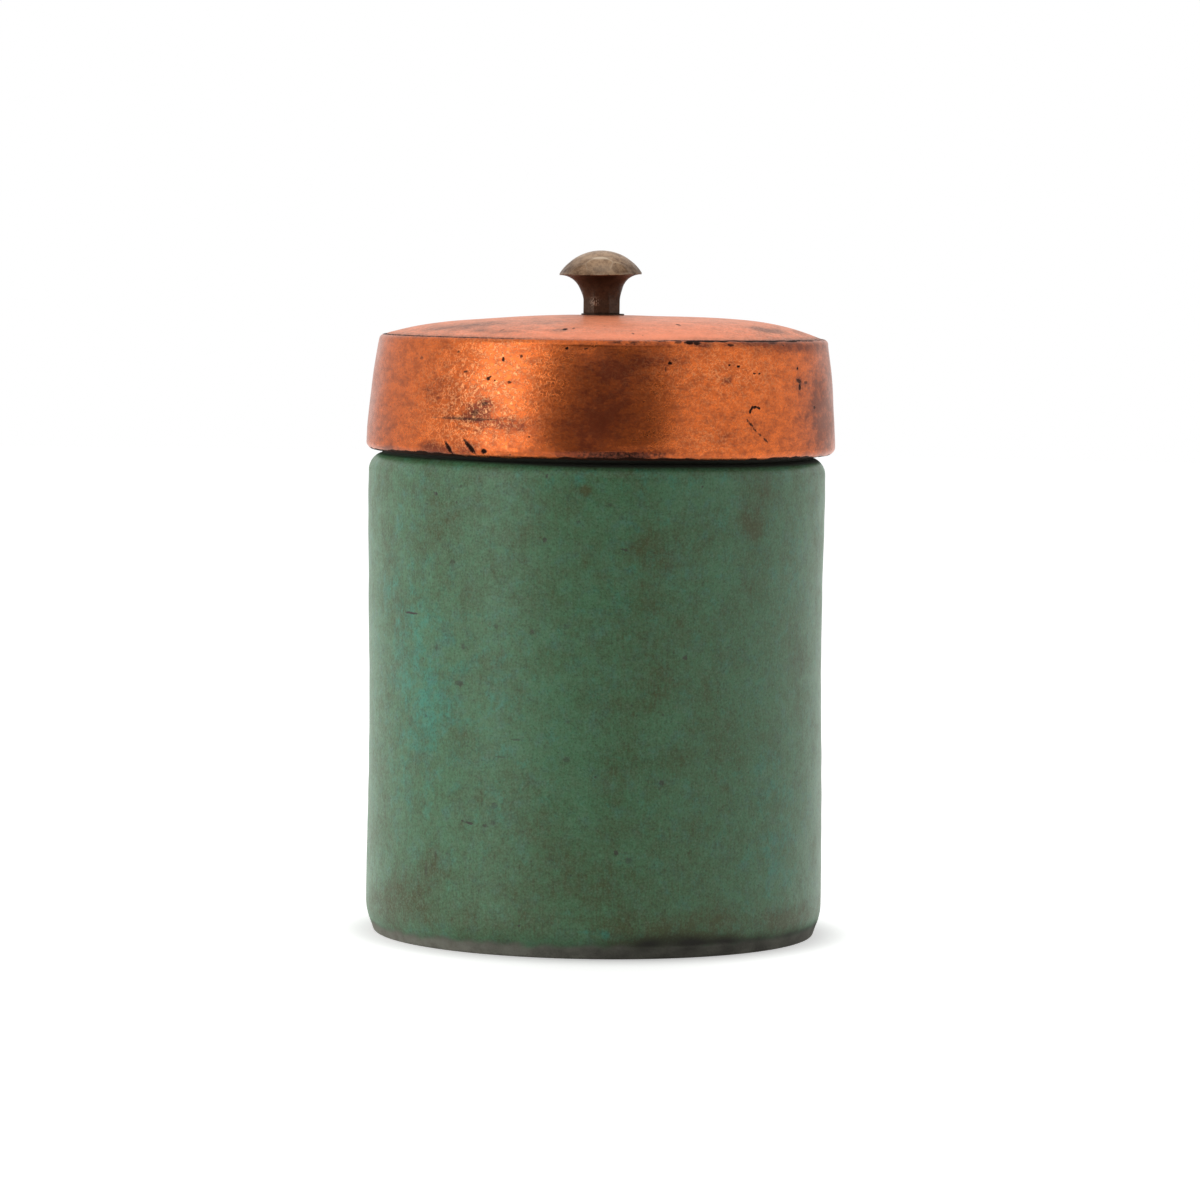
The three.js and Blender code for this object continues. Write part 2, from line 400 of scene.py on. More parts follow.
    def _vertex_numbers(self) -> np.ndarray:
        """The number of the vertex at each point of the grid.

        Returns:
            The numbers, in the shape of the grid.
        """
        rows, columns = self.points.shape[:2]
        if self.closing is Closing.RING:
            return np.arange(rows * columns).reshape(rows, columns)
        numbers = np.zeros((rows, columns), int)
        numbers[1:-1] = 1 + np.arange((rows - 2) * columns).reshape(rows - 2, columns)
        numbers[-1] = 1 + (rows - 2) * columns
        return numbers

    def _faces(self) -> list[list[int]]:
        """Faces of the grid as vertex numbers: lower, lower right, upper right, upper.

        A pole's fan leaves one of its two equal corners out.

        Returns:
            The faces.
        """
        lower = self._vertex_numbers()
        upper = np.roll(lower, -1, axis=0)
        if self.closing is Closing.POLES:
            lower, upper = lower[:-1], upper[:-1]
        corners = np.stack((lower, np.roll(lower, -1, 1), np.roll(upper, -1, 1), upper), axis=-1)
        if self.closing is Closing.RING:
            return corners.reshape(-1, 4).tolist()
        middle = corners[1:-1].reshape(-1, 4).tolist()
        return middle + corners[0][:, [0, 2, 3]].tolist() + corners[-1][:, [0, 1, 2]].tolist()

    def piece(self, name: str, masks: dict[Mask, np.ndarray]) -> bpy.types.Object:
        """Makes the mesh object.

        Args:
            name: the piece's name.
            masks: the covers that its material reads, one value a point of the grid.

        Returns:
            The object, at the origin, with its place in its mesh.
        """
        mesh = bpy.data.meshes.new(name)
        mesh.from_pydata((self._gathered(self.points) * MM).tolist(), [], self._faces())
        for mask, grid in masks.items():
            attribute = mesh.attributes.new(mask.value, "FLOAT", "POINT")
            values = np.broadcast_to(grid, self.points.shape[:2])
            attribute.data.foreach_set("value", self._gathered(values).astype(np.float32))
        mesh.polygons.foreach_set("use_smooth", np.ones(len(mesh.polygons), bool))
        mesh.update()
        return stand(name, mesh)


def stand(name: str, data: bpy.types.ID) -> bpy.types.Object:
    """Makes an object of a mesh, a lamp or a camera and puts it in the scene.

    Args:
        name: its name.
        data: what it shows.

    Returns:
        The object.
    """
    made = bpy.data.objects.new(name, data)
    bpy.context.scene.collection.objects.link(made)
    return made


def place_piece(made: bpy.types.Object, body: str, node: str, skin: bpy.types.Material) -> None:
    """Dresses a piece, sets it on its body and lets it stand for its node.

    Args:
        made: the piece.
        body: the body that it rides on.
        node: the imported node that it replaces.
        skin: its material.
    """
    made.data.materials.append(skin)
    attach(made, body)
    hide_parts(node)
    LOG.info("%s: %d faces, rides on %s, stands for %s", made.name, len(made.data.polygons), body, node)


def linear(code: str) -> tuple[float, float, float, float]:
    """Turns an sRGB hex colour to the linear colour that a shader takes.

    Args:
        code: the colour, as # and six digits.

    Returns:
        Its red, green, blue and alpha.
    """
    shares = [int(code[i : i + 2], 16) / 255.0 for i in (1, 3, 5)]
    red, green, blue = (s / 12.92 if s <= 0.04045 else ((s + 0.055) / 1.055) ** 2.4 for s in shares)
    return red, green, blue, 1.0


@dataclass
class ShaderNodes:
    """The nodes of a material or of the surroundings, and the steps that their recipes share.

    Attributes:
        tree: the node tree that they stand in.
    """

    tree: bpy.types.NodeTree

    @classmethod
    def of_material(cls, name: str) -> tuple[bpy.types.Material, "ShaderNodes"]:
        """Makes a material with only its output node, and hands back its nodes too.

        Args:
            name: the material's name.

        Returns:
            The material and its nodes.
        """
        material = bpy.data.materials.new(name)
        material.use_nodes = True
        material.node_tree.nodes.clear()
        material.node_tree.nodes.new("ShaderNodeOutputMaterial")
        return material, cls(material.node_tree)

    def finish(self, shader: Socket) -> None:
        """Links the last shader to the material's output."""
        self.tree.links.new(shader, self.tree.nodes["Material Output"].inputs["Surface"])

    def add(self, kind: str, inputs: dict | None = None, out: int = 0, **settings: object) -> Socket:
        """Adds one shader node with its settings and links.

        Args:
            kind: the node's type, without its ShaderNode prefix.
            inputs: sockets by name or number, each with a value or with the output that feeds it.
            out: the number of the output to hand back.
            **settings: the node's own properties.

        Returns:
            The chosen output.
        """
        node = self.tree.nodes.new("ShaderNode" + kind)
        for name, value in settings.items():
            setattr(node, name, value)
        for key, value in (inputs or {}).items():
            if isinstance(value, Socket):
                self.tree.links.new(value, node.inputs[key])
            else:
                node.inputs[key].default_value = linear(value) if isinstance(value, str) else value
        return node.outputs[out]

    def maths(self, operation: str, *values: object) -> Socket:
        """Works out one sum from values or covers."""
        return self.add("Math", dict(enumerate(values)), operation=operation)

    def product(self, first: object, second: object) -> Socket:
        """Two covers at once: what both of them let show."""
        return self.maths("MULTIPLY", first, second)

    def ramp(
        self,
        value: Socket,
        low: float,
        high: float,
        first: float = 0.0,
        last: float = 1.0,
        soft: bool = False,
    ) -> Socket:
        """Stretches what lies between two values to another range, and holds it there.

        Args:
            value: the value.
            low: the value that turns to first.
            high: the value that turns to last. It may be the lower of the two.
            first: the start of the new range.
            last: the end of the new range.
            soft: whether the ramp starts and ends softly.

        Returns:
            The new value.
        """
        inputs = {"Value": value, "From Min": low, "From Max": high, "To Min": first, "To Max": last}
        return self.add("MapRange", inputs, interpolation_type="SMOOTHSTEP" if soft else "LINEAR")

    def object_mm(self, stretch: Sequence[float] = (1.0, 1.0, 1.0)) -> Socket:
        """Object coordinates in mm, times stretch: below 1, the noise is drawn out along that axis."""
        place = self.add("TexCoord", out=3)
        return self.add("VectorMath", {0: place, 1: [s / MM for s in stretch]}, operation="MULTIPLY")

    def cover_of(self, mask: Mask) -> Socket:
        """The mesh's own soft cover of that name."""
        return self.add("Attribute", out=2, attribute_name=mask.value)

    def blotches(
        self,
        place: Socket,
        size: float,
        low: float,
        high: float,
        detail: float = 3.0,
        roughness: float = 0.55,
        seed: float = 0.0,
    ) -> Socket:
        """Irregular blotches of a real size.

        Args:
            place: coordinates in mm.
            size: the blotches' size in mm.
            low: the noise level, of 0 to 1, at which the cover starts.
            high: the noise level at which the cover is full.
            detail: how many finer layers break up their edges.
            roughness: how strong the finer layers are.
            seed: settles the draw.

        Returns:
            A cover from 0 to 1.
        """
        settings = {"Vector": place, "W": seed, "Scale": 1.0 / size, "Detail": detail, "Roughness": roughness}
        return self.ramp(self.add("TexNoise", settings, noise_dimensions="4D"), low, high)

    def specks(self, place: Socket, spacing: float, radius: float, share: float) -> Socket:
        """Small round specks at random places.

        Args:
            place: coordinates in mm.
            spacing: about how far apart the places lie, in mm.
            radius: a speck's radius in mm.
            share: the share of the places that has a speck.

        Returns:
            A cover from 0 to 1.
        """
        cells = {"Vector": place, "Scale": 1.0 / spacing, "Randomness": 1.0}
        distance = self.add("TexVoronoi", cells)
        chance = self.add("SeparateColor", {0: self.add("TexVoronoi", cells, out=1)})
        kept = self.maths("LESS_THAN", chance, share)
        spot = self.ramp(distance, radius / spacing, 0.4 * radius / spacing, soft=True)
        return self.product(spot, kept)

    def curls(self, place: Socket, size: float) -> Socket:
        """Thin curly lines, which lie where a noise crosses its middle.

        Args:
            place: coordinates in mm.
            size: about how far apart the lines lie, in mm.

        Returns:
            A cover from 0 to 1.
        """
        settings = {"Vector": place, "Scale": 1.0 / size, "Detail": 2.5, "Distortion": 0.6}
        away = self.maths("ABSOLUTE", self.maths("SUBTRACT", self.add("TexNoise", settings), NOISE_MIDDLE))
        return self.ramp(away, 0.044, 0.005)

    def marked(self) -> Socket:
        """The mesh's small marks, cut out of its nearness at their edge, which noise makes uneven.

        Returns:
            A cover from 0 to 1.
        """
        rough = {"Vector": self.object_mm(), "Scale": 2.0, "Detail": 4.0, "Roughness": 0.7}
        pulled = self.maths("MULTIPLY_ADD", self.add("TexNoise", rough), 0.5, -0.24)
        near = self.maths("ADD", self.cover_of(Mask.MARK), pulled)
        shape = self.ramp(near, MARK_EDGE - 0.1, MARK_EDGE + 0.1, soft=True)
        return self.product(shape, self.cover_of(Mask.FORCE))

    def layered(self, ground: object, layers: Sequence[tuple[Socket, object]]) -> Socket:
        """Lays colours or values over a ground, each as far as its cover lets it show.

        Args:
            ground: the value underneath, or the hex code of the colour underneath.
            layers: a cover and a value or hex code for each layer, the lowest first.

        Returns:
            The result.
        """
        result = ground
        for cover, layer in layers:
            if isinstance(layer, float):
                result = self.add("Mix", {0: cover, 2: result, 3: layer})
            else:
                result = self.add("Mix", {0: cover, 6: result, 7: layer}, out=2, data_type="RGBA")
        return result

    def relief(self, layers: Sequence[tuple[Socket, float]]) -> Socket:
        """A bumped normal from covers and the height in mm that each one stands proud.

        Args:
            layers: each cover with its height, which is less than 0 for a hollow.

        Returns:
            The normal.
        """
        height = 0.0
        for cover, proud in layers:
            height = self.maths("MULTIPLY_ADD", cover, proud, height)
        return self.add("Bump", {"Height": height, "Distance": MM})


@dataclass(frozen=True)
class SatinGlaze:
    """Copper-green satin glaze on thrown stoneware, dipped by hand, with the foot wiped bare.

    The glaze pools to teal and to a cool blue, and a brown-olive film lies over it in clouds, in
    patches of a few mm, in a fine grain and in upright fibres. That gives the eye soft mottling at
    every scale under a dull sheen that turns pale only at the edges, with iron specks that have bled
    through.
    """

    glaze: str = "#5e9469"
    teal: str = "#4aa88c"
    blue: str = "#5d958f"
    film: str = "#4a5024"
    dark: str = "#232b19"
    pale: str = "#96b095"
    iron: str = "#2a1d12"
    clay: str = "#9c9a8e"
    soot_and_shade: str = "#211f18"
    sheen_roughness: float = 0.38
    clay_roughness: float = 0.85
    cloud_size: float = 11.0
    mottle_size: float = 2.3
    grain_size: float = 0.45
    fibre_size: float = 0.4
    milk_size: float = 2.8
    iron_spacing: float = 7.0
    iron_radius: float = 0.4

    def film_cover(self, nodes: ShaderNodes, place: Socket) -> Socket:
        """How much of the film lies at each place: the mesh's own cover with four kinds of noise.

        Args:
            nodes: the material's nodes.
            place: coordinates in mm.

        Returns:
            A cover from 0 to 1.
        """
        clouds = nodes.blotches(place, size=self.cloud_size, low=0.36, high=0.64, detail=5.0, roughness=0.6)
        mottle = nodes.blotches(
            place, size=self.mottle_size, low=0.36, high=0.64, detail=5.0, roughness=0.72, seed=1.0
        )
        grain = nodes.blotches(place, size=self.grain_size, low=0.34, high=0.66, detail=1.0, seed=2.0)
        upright = nodes.object_mm((1.0, 1.0, 0.12))
        fibres = nodes.blotches(upright, size=self.fibre_size, low=0.36, high=0.66, seed=3.0)
        total = nodes.cover_of(Mask.FILM)
        for cover, share in ((clouds, 0.42), (mottle, 0.42), (grain, 0.24), (fibres, 0.24)):
            total = nodes.maths("MULTIPLY_ADD", cover, share, total)
        return nodes.ramp(total, 0.45, 1.28, last=0.95)

    def material(self) -> bpy.types.Material:
        """Makes the material.

        Returns:
            The material.
        """
        material, nodes = ShaderNodes.of_material("satin green glaze on thrown stoneware")
        place = nodes.object_mm()
        film = self.film_cover(nodes, place)
        patch = nodes.blotches(place, size=4.0, low=0.4, high=0.62, detail=5.0, roughness=0.7, seed=4.0)
        cool = nodes.blotches(place, size=3.2, low=0.5, high=0.66, detail=5.0, roughness=0.7, seed=5.0)
        grain = nodes.blotches(place, size=self.grain_size, low=0.52, high=0.7, detail=2.0, seed=6.0)
        pale = nodes.blotches(place, size=self.grain_size, low=0.48, high=0.3, detail=2.0, seed=6.0)
        pooled = nodes.maths("ADD", nodes.cover_of(Mask.TEAL), patch)
        teal = nodes.ramp(pooled, 0.75, 1.7)
        milky = nodes.blotches(
            place, size=self.milk_size, low=0.46, high=0.7, detail=5.0, roughness=0.7, seed=7.0
        )
        iron = nodes.specks(place, spacing=self.iron_spacing, radius=self.iron_radius, share=0.3)
        spots = nodes.marked()
        bare = nodes.cover_of(Mask.BARE)
        grime = nodes.cover_of(Mask.GRIME)
        layers = [
            (teal, self.teal),
            (nodes.product(cool, 0.35), self.blue),
            (film, self.film),
            (nodes.product(milky, 0.1), self.pale),
            (nodes.product(grain, 0.5), self.dark),
            (nodes.product(pale, 0.3), self.pale),
            (nodes.product(iron, 0.6), self.iron),
            (spots, self.iron),
            (bare, self.clay),
            (nodes.product(bare, nodes.product(patch, 0.35)), self.soot_and_shade),
            # This colour lies as the foot's sooty film and as painted shade under the lid and on the foot's
            # right.
            (grime, self.soot_and_shade),
        ]
        colour = nodes.layered(self.glaze, layers)
        dull = [(film, self.sheen_roughness + 0.1), (bare, self.clay_roughness), (grime, self.clay_roughness)]
        roughness = nodes.layered(self.sheen_roughness, dull)
        bumps = [(grain, 0.012), (patch, 0.03), (spots, -0.05), (nodes.product(bare, grain), 0.05)]
        inputs = {
            "Base Color": colour,
            "Roughness": roughness,
            "IOR": 1.5,
            "Normal": nodes.relief(bumps),
        }
        nodes.finish(nodes.add("BsdfPrincipled", inputs))
        return material


@dataclass(frozen=True)
class WorkedCopper:
    """Copper sheet, raised and planished by hand, then handled and left to tarnish.

    The hammered skin breaks a highlight into small flakes, and their pale tips are painted glints, laid
    chiefly where the skirt's highlights fall. Rubbed places stay bright orange, some of them painted light,
    oxide turns others brown in drawn-out blotches, and dull deposits sit in the pits and along the seams.
    The same dark colour paints shade under the hem and on the lip's rounding. A thin coat of old wax pales
    the highlights and the edges.
    """

    name: str
    bright: str
    warm: str
    brown: str
    pale: str
    dirt_and_shade: str
    roughness: float
    crinkle_height: float
    blotch_strength: float
    graze_tint: str
    crinkle_size: float = 0.8
    fleck_size: float = 0.5
    blotch_size: float = 3.4
    streak_close: float = 1.8
    glint_share: float = 0.6
    line_share: float = 0.2
    wax: float = 0.3

    def material(self) -> bpy.types.Material:
        """Makes the material.

        Returns:
            The material.
        """
        material, nodes = ShaderNodes.of_material(self.name)
        place = nodes.object_mm()
        drawn = nodes.object_mm((1.0, 1.0, self.streak_close))
        blotch = nodes.blotches(drawn, size=self.blotch_size, low=0.42, high=0.68, detail=6.0, roughness=0.68)
        fleck = nodes.blotches(place, size=self.fleck_size, low=0.44, high=0.66, detail=2.0, seed=1.0)
        lines = nodes.blotches(nodes.object_mm((0.12, 0.12, 1.0)), size=0.45, low=0.45, high=0.75, seed=2.0)
        crinkle = nodes.curls(place, self.crinkle_size)
        ragged = nodes.blotches(drawn, size=1.1, low=0.3, high=0.7, detail=5.0, roughness=0.7, seed=3.0)
        flaked_and_glinting = nodes.product(crinkle, nodes.cover_of(Mask.CRINKLE))
        tarnish = nodes.maths("MULTIPLY_ADD", ragged, 0.4, nodes.cover_of(Mask.TARNISH))
        tarnish = nodes.ramp(tarnish, 0.32, 1.2)
        tarnish = nodes.maths("MULTIPLY_ADD", blotch, self.blotch_strength, tarnish)
        tarnish = nodes.maths("MINIMUM", tarnish, 0.92)
        pits = nodes.specks(place, spacing=4.2, radius=0.3, share=0.35)
        spots = nodes.marked()
        torn = nodes.blotches(place, size=0.8, low=0.3, high=0.7, detail=5.0, roughness=0.75, seed=4.0)
        grime = nodes.maths("MULTIPLY_ADD", torn, 0.5, nodes.cover_of(Mask.GRIME))
        grime = nodes.ramp(grime, 0.6, 0.9)
        dirt_and_shade = nodes.maths("MAXIMUM", spots, grime)
        dirt_and_shade = nodes.maths("MAXIMUM", dirt_and_shade, nodes.product(pits, 0.7))
        layers = [
            (nodes.product(fleck, 0.6), self.warm),
            (nodes.product(lines, self.line_share), self.brown),
            (tarnish, self.brown),
            # Painted glints: pale tips on the flakes, as far as the crinkle cover lets them.
            (nodes.product(flaked_and_glinting, self.glint_share), self.pale),
            (nodes.product(nodes.cover_of(Mask.WORN), 0.7), self.bright),
            # Dark deposits, and painted shade where the cover carries it.
            (dirt_and_shade, self.dirt_and_shade),
        ]
        colour = nodes.layered(self.bright, layers)
        dull = [(tarnish, self.roughness + 0.12), (dirt_and_shade, 0.7)]
        roughness = nodes.layered(self.roughness, dull)
        bumps = [(flaked_and_glinting, self.crinkle_height), (lines, 0.01), (blotch, 0.02), (dirt_and_shade, -0.08)]
        inputs = {
            "Base Color": colour,
            "Metallic": nodes.maths("SUBTRACT", 1.0, dirt_and_shade),
            "Roughness": roughness,
            "Specular IOR Level": nodes.layered(0.5, [(dirt_and_shade, 0.1)]),
            "Specular Tint": self.graze_tint,
            "Coat Weight": nodes.layered(self.wax, [(dirt_and_shade, 0.0)]),
            "Coat Roughness": 0.28,
            "Normal": nodes.relief(bumps),
        }
        nodes.finish(nodes.add("BsdfPrincipled", inputs))
        return material


@dataclass(frozen=True)
class FiledBronze:
    """Cast bronze, shaped with a file, then darkened by handling.

    Rubbed edges and the tops of the flats stay pale, and the skin between them is a mottled
    grey-brown with dark specks in the pores. The pale cover also holds painted light: a lighter top to
    the cap, a painted highlight along its front edges and painted glints; the dark cover holds painted
    shade on the cap's sides and up under it.
    """

    skin: str = "#b08d6c"
    patina: str = "#6a4b33"
    pore: str = "#20140d"
    rubbed: str = "#d2bea6"
    roughness: float = 0.42

    def material(self) -> bpy.types.Material:
        """Makes the material.

        Returns:
            The material.
        """
        material, nodes = ShaderNodes.of_material("filed bronze, dark with age")
        place = nodes.object_mm()
        mottle = nodes.blotches(place, size=1.6, low=0.4, high=0.65, detail=4.0, roughness=0.6)
        grain = nodes.blotches(place, size=0.4, low=0.4, high=0.7, detail=2.0)
        pores = nodes.specks(place, spacing=1.5, radius=0.22, share=0.4)
        strokes = nodes.blotches(nodes.object_mm((1.0, 1.0, 0.2)), size=0.3, low=0.4, high=0.7)
        worn = nodes.cover_of(Mask.WORN)
        grime = nodes.cover_of(Mask.GRIME)
        layers = [
            (nodes.product(mottle, 0.9), self.patina),
            (nodes.product(grain, 0.4), self.patina),
            (nodes.product(pores, 0.7), self.pore),
            (grime, self.pore),
            (worn, self.rubbed),
        ]
        colour = nodes.layered(self.skin, layers)
        roughness = nodes.layered(self.roughness, [(mottle, self.roughness + 0.1), (worn, 0.3)])
        bumps = [(grain, 0.012), (mottle, 0.02), (pores, -0.04), (strokes, 0.008)]
        inputs = {
            "Base Color": colour,
            "Metallic": nodes.maths("SUBTRACT", 1.0, grime),
            "Specular IOR Level": nodes.layered(0.5, [(grime, 0.2)]),
            "Roughness": roughness,
            "Normal": nodes.relief(bumps),
        }
        nodes.finish(nodes.add("BsdfPrincipled", inputs))
        return material


@dataclass(frozen=True)
class TurnedBrass:
    """Brass turned from bar and left dull, with the tool's fine rings and brown spots of tarnish."""

    metal: str = "#b09456"
    brown: str = "#6b5230"
    roughness: float = 0.38
    ring_pitch: float = 0.35

    def material(self) -> bpy.types.Material:
        """Makes the material.

        Returns:
            The material.
        """
        material, nodes = ShaderNodes.of_material("dull turned brass")
        place = nodes.object_mm()
        across = nodes.add("VectorMath", {0: place, 1: (1.0, 1.0, 0.0)}, operation="MULTIPLY")
        far = nodes.add("VectorMath", {0: across}, out=1, operation="LENGTH")
        phase = nodes.maths("MULTIPLY", far, 2.0 * math.pi / self.ring_pitch)
        rings = nodes.maths("SINE", phase)
        brown = nodes.blotches(place, size=2.5, low=0.45, high=0.65, detail=4.0)
        inputs = {
            "Base Color": nodes.layered(self.metal, [(brown, self.brown)]),
            "Metallic": 1.0,
            "Roughness": nodes.layered(self.roughness, [(brown, self.roughness + 0.15)]),
            "Normal": nodes.relief([(rings, 0.006), (brown, 0.01)]),
        }
        nodes.finish(nodes.add("BsdfPrincipled", inputs))
        return material


@dataclass
class Jar:
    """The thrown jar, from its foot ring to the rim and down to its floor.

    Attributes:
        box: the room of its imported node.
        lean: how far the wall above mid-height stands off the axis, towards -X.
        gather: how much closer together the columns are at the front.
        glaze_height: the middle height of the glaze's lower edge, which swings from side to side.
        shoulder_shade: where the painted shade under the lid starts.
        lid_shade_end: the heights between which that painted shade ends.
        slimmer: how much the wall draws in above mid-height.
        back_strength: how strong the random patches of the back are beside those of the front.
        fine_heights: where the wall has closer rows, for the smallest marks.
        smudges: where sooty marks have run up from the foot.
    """

    box: NodeBox = field(default_factory=lambda: NodeBox.of("jar_body"))
    finish: SatinGlaze = SatinGlaze()
    waist: float = 0.55
    foot_inset: float = 1.75
    foot_edge: float = 0.8
    foot_ring: float = 6.0
    foot_recess: float = 1.6
    taper_height: float = 7.5
    shoulder: float = 115.2
    shoulder_round: float = 4.5
    neck_setback: float = 3.4
    neck_fillet: float = 0.8
    rim_round: float = 2.1
    throat: float = 9.0
    bore_setback: float = 7.6
    wall: float = 5.0
    floor: float = 7.0
    floor_fillet: float = 9.0
    lean: float = 0.55
    columns: int = 304
    gather: float = 0.58
    glaze_step: float = 0.06
    glaze_height: float = 2.7
    glaze_swing: float = 0.5
    soot_height: float = 4.2
    soot_drop: float = 1.3
    soot_reach: float = 2.1
    shoulder_shade: float = 114.3
    lid_shade_end: tuple[float, float] = (117.0, 120.0)
    ring_depth: float = 0.02
    dip_depth: float = 0.035
    slimmer: float = 0.1
    back_strength: float = 0.45
    row_step: float = 0.62
    fine_heights: tuple[float, ...] = (30.7, 46.5, 50.7, 70.1, 78.55, 95.2, 106.8, 109.0)

    film_spots = (
        Spot(39.6, 101.8, 2.6, 2, 0.35), Spot(42.3, 99.4, 2, 1.6, 0.45), Spot(46.6, 108.2, 1.8, 1.5, 0.4),
        Spot(44, 103, 7, 7, 0.3), Spot(-44, 20, 4, 6, 0.35, -25), Spot(-55, 11, 14, 6, 0.3),
        Spot(-32, 99, 14, 12, 0.22), Spot(-62, 102, 8, 12, 0.2), Spot(-2, 18, 26, 11, 0.22),
        Spot(-18, 30, 9, 10, 0.18), Spot(12, 72, 8, 36, 0.2, 6), Spot(30, 48, 7, 16, 0.2, -20),
        Spot(62, 68, 6, 12, 0.25), Spot(26, 8, 16, 3.5, 0.4), Spot(56, 7, 12, 3, 0.4),
        Spot(4, 46, 5, 14, 0.2), Spot(13, 97, 5, 9, 0.2), Spot(-50, 12, 12, 5, 0.2),
        Spot(-2.6, 108.8, 1.3, 1.2, 0.9), Spot(-7, 106, 6, 5, 0.12),
    )
    teal_spots = (
        Spot(-56, 74, 11, 24, 0.6), Spot(-46, 60, 9, 18, 0.45), Spot(-54, 40, 7, 14, 0.4),
        Spot(-30, 62, 14, 16, 0.35), Spot(-63, 84, 5, 7, 0.4), Spot(-46, 54, 5, 7, 0.35),
        Spot(44, 96, 5, 7, 0.35), Spot(50, 18, 9, 9, 0.35), Spot(-27, 40, 12, 8, 0.3),
        Spot(58, 88, 9, 15, 0.35), Spot(52, 34, 9, 16, 0.45), Spot(14, 90, 10, 14, 0.2),
        Spot(-1, 6.4, 3, 1.1, 1), Spot(3.2, 6, 1.2, 0.8, 1), Spot(11.5, 5.4, 1.6, 0.8, 0.9),
        Spot(55, 6.8, 2.2, 0.9, 0.8), Spot(10, 111.5, 30, 2.2, 0.4),
    )
    iron_spots = (
        Spot(-43, 106.8, 0.55, 0.6, 1), Spot(-35, 108.9, 0.45, 0.45, 0.6), Spot(-37.6, 91.2, 0.8, 0.8, 0.5),
        Spot(-41.5, 90.8, 0.5, 0.5, 0.45), Spot(-12.4, 97.2, 0.6, 0.6, 0.7),
        Spot(-12.2, 111.9, 0.4, 0.5, 0.7), Spot(-4.2, 101.5, 0.6, 0.4, 0.5), Spot(-24.8, 76.7, 0.6, 0.7, 0.5),
        Spot(-15.4, 75.8, 0.6, 0.6, 0.6), Spot(-42.5, 71.1, 0.7, 0.7, 0.5), Spot(-34.2, 71.6, 0.6, 0.7, 0.5),
        Spot(-34.4, 64.8, 0.4, 0.5, 0.5), Spot(-36.2, 63.1, 0.6, 0.6, 0.6), Spot(-34.8, 62.9, 0.6, 0.7, 0.7),
        Spot(-6.8, 77.2, 0.9, 0.5, 0.4), Spot(26.5, 109.7, 0.35, 0.35, 0.8), Spot(3.4, 105.5, 0.6, 0.5, 0.5),
        Spot(6.1, 102.7, 0.6, 0.8, 0.4), Spot(7, 95.2, 1, 0.25, 0.7, -15), Spot(22.6, 70.1, 0.6, 0.5, 0.8),
        Spot(-71.6, 48.5, 0.35, 0.9, 0.7), Spot(-46.5, 54.7, 0.5, 0.5, 0.5), Spot(-22.6, 52.2, 0.4, 0.3, 0.8),
        Spot(-19.6, 50.7, 1.3, 0.25, 0.6), Spot(-23.5, 46.5, 1.3, 0.2, 0.5), Spot(-6.8, 46.5, 0.8, 0.7, 0.55),
        Spot(-25.2, 35.1, 0.8, 0.8, 0.55), Spot(-25.4, 31.2, 0.7, 0.7, 0.5), Spot(-34, 31, 1, 0.25, 0.7, -20),
        Spot(-31.8, 30.6, 1, 0.3, 0.9, -10), Spot(-27.8, 30.3, 0.6, 0.45, 0.7),
        Spot(-18.2, 7.6, 0.4, 0.35, 0.9), Spot(5.4, 25.1, 0.6, 0.6, 0.8), Spot(8.3, 23.3, 0.8, 0.7, 0.5),
        Spot(16.5, 41.3, 0.6, 0.7, 0.7), Spot(46.2, 28.4, 0.4, 0.35, 0.7), Spot(-53.2, 78.6, 1.2, 0.24),
        Spot(-52, 78.55, 1.2, 0.24), Spot(-50.8, 78.5, 1.2, 0.24), Spot(-47.8, 12.4, 2, 0.3, 0.5, -35),
        Spot(-45.7, 18.7, 0.5, 2.2, 0.45, 12), Spot(-42.3, 21.8, 0.4, 1.8, 0.4, 15),
        Spot(-39, 23.2, 1.6, 0.3, 0.45, -20),
    )
    smudges = (
        Spot(10, 3.6, 7, 1.3, 0.6), Spot(21, 4.3, 7.5, 1.8, 0.8), Spot(33, 4, 7, 1.4, 0.7),
    )

    def profile(self) -> np.ndarray:
        """The jar's outline, from the middle of its underside, up the outside and down the inside.

        The wall draws in by waist sin²(πt) between the foot's taper and the shoulder, the taper
        follows a quarter sine, and the throat is a soft step from the bore to the cavity.

        Returns:
            The outline's points.
        """
        radius = self.box.radius
        foot = radius - self.foot_inset
        inner = foot - self.foot_ring
        rim_centre = (radius - self.neck_setback - self.rim_round, self.box.top - self.rim_round)
        recess = self.foot_recess
        under = bent(
            (0.0, recess, 8.0), (inner - recess, recess, 0.8), (inner, 0.0, 1.8), (foot - self.foot_edge, 0.0)
        )
        edge = arc((foot - self.foot_edge, self.foot_edge), self.foot_edge, -90.0, -10.0, 0.22)
        t = np.linspace(0.0, 1.0, 22)[1:, None]
        taper = np.hstack((
            edge[-1, 0] + (radius - edge[-1, 0]) * np.sin(0.5 * np.pi * t),
            edge[-1, 1] + (self.taper_height - edge[-1, 1]) * t,
        ))
        wall_top = self.shoulder - self.shoulder_round
        even = np.arange(self.taper_height + self.row_step, wall_top, self.row_step)
        closer = np.add.outer(self.fine_heights, np.linspace(-0.4, 0.4, 5)).ravel()
        height = np.union1d(np.round(np.concatenate((even, closer, [wall_top])) / 0.1), []) * 0.1
        t = ((height - self.taper_height) / (wall_top - self.taper_height))[:, None]
        side = np.hstack((
            radius - self.waist * np.sin(np.pi * t) ** 2,
            self.taper_height + (wall_top - self.taper_height) * t,
        ))
        round_centre = radius - self.shoulder_round
        neck = radius - self.neck_setback
        reach = neck + self.neck_fillet - round_centre
        turn = math.degrees(math.acos(reach / self.shoulder_round))
        shoulder = arc((round_centre, wall_top), self.shoulder_round, 0.0, turn, 0.35)
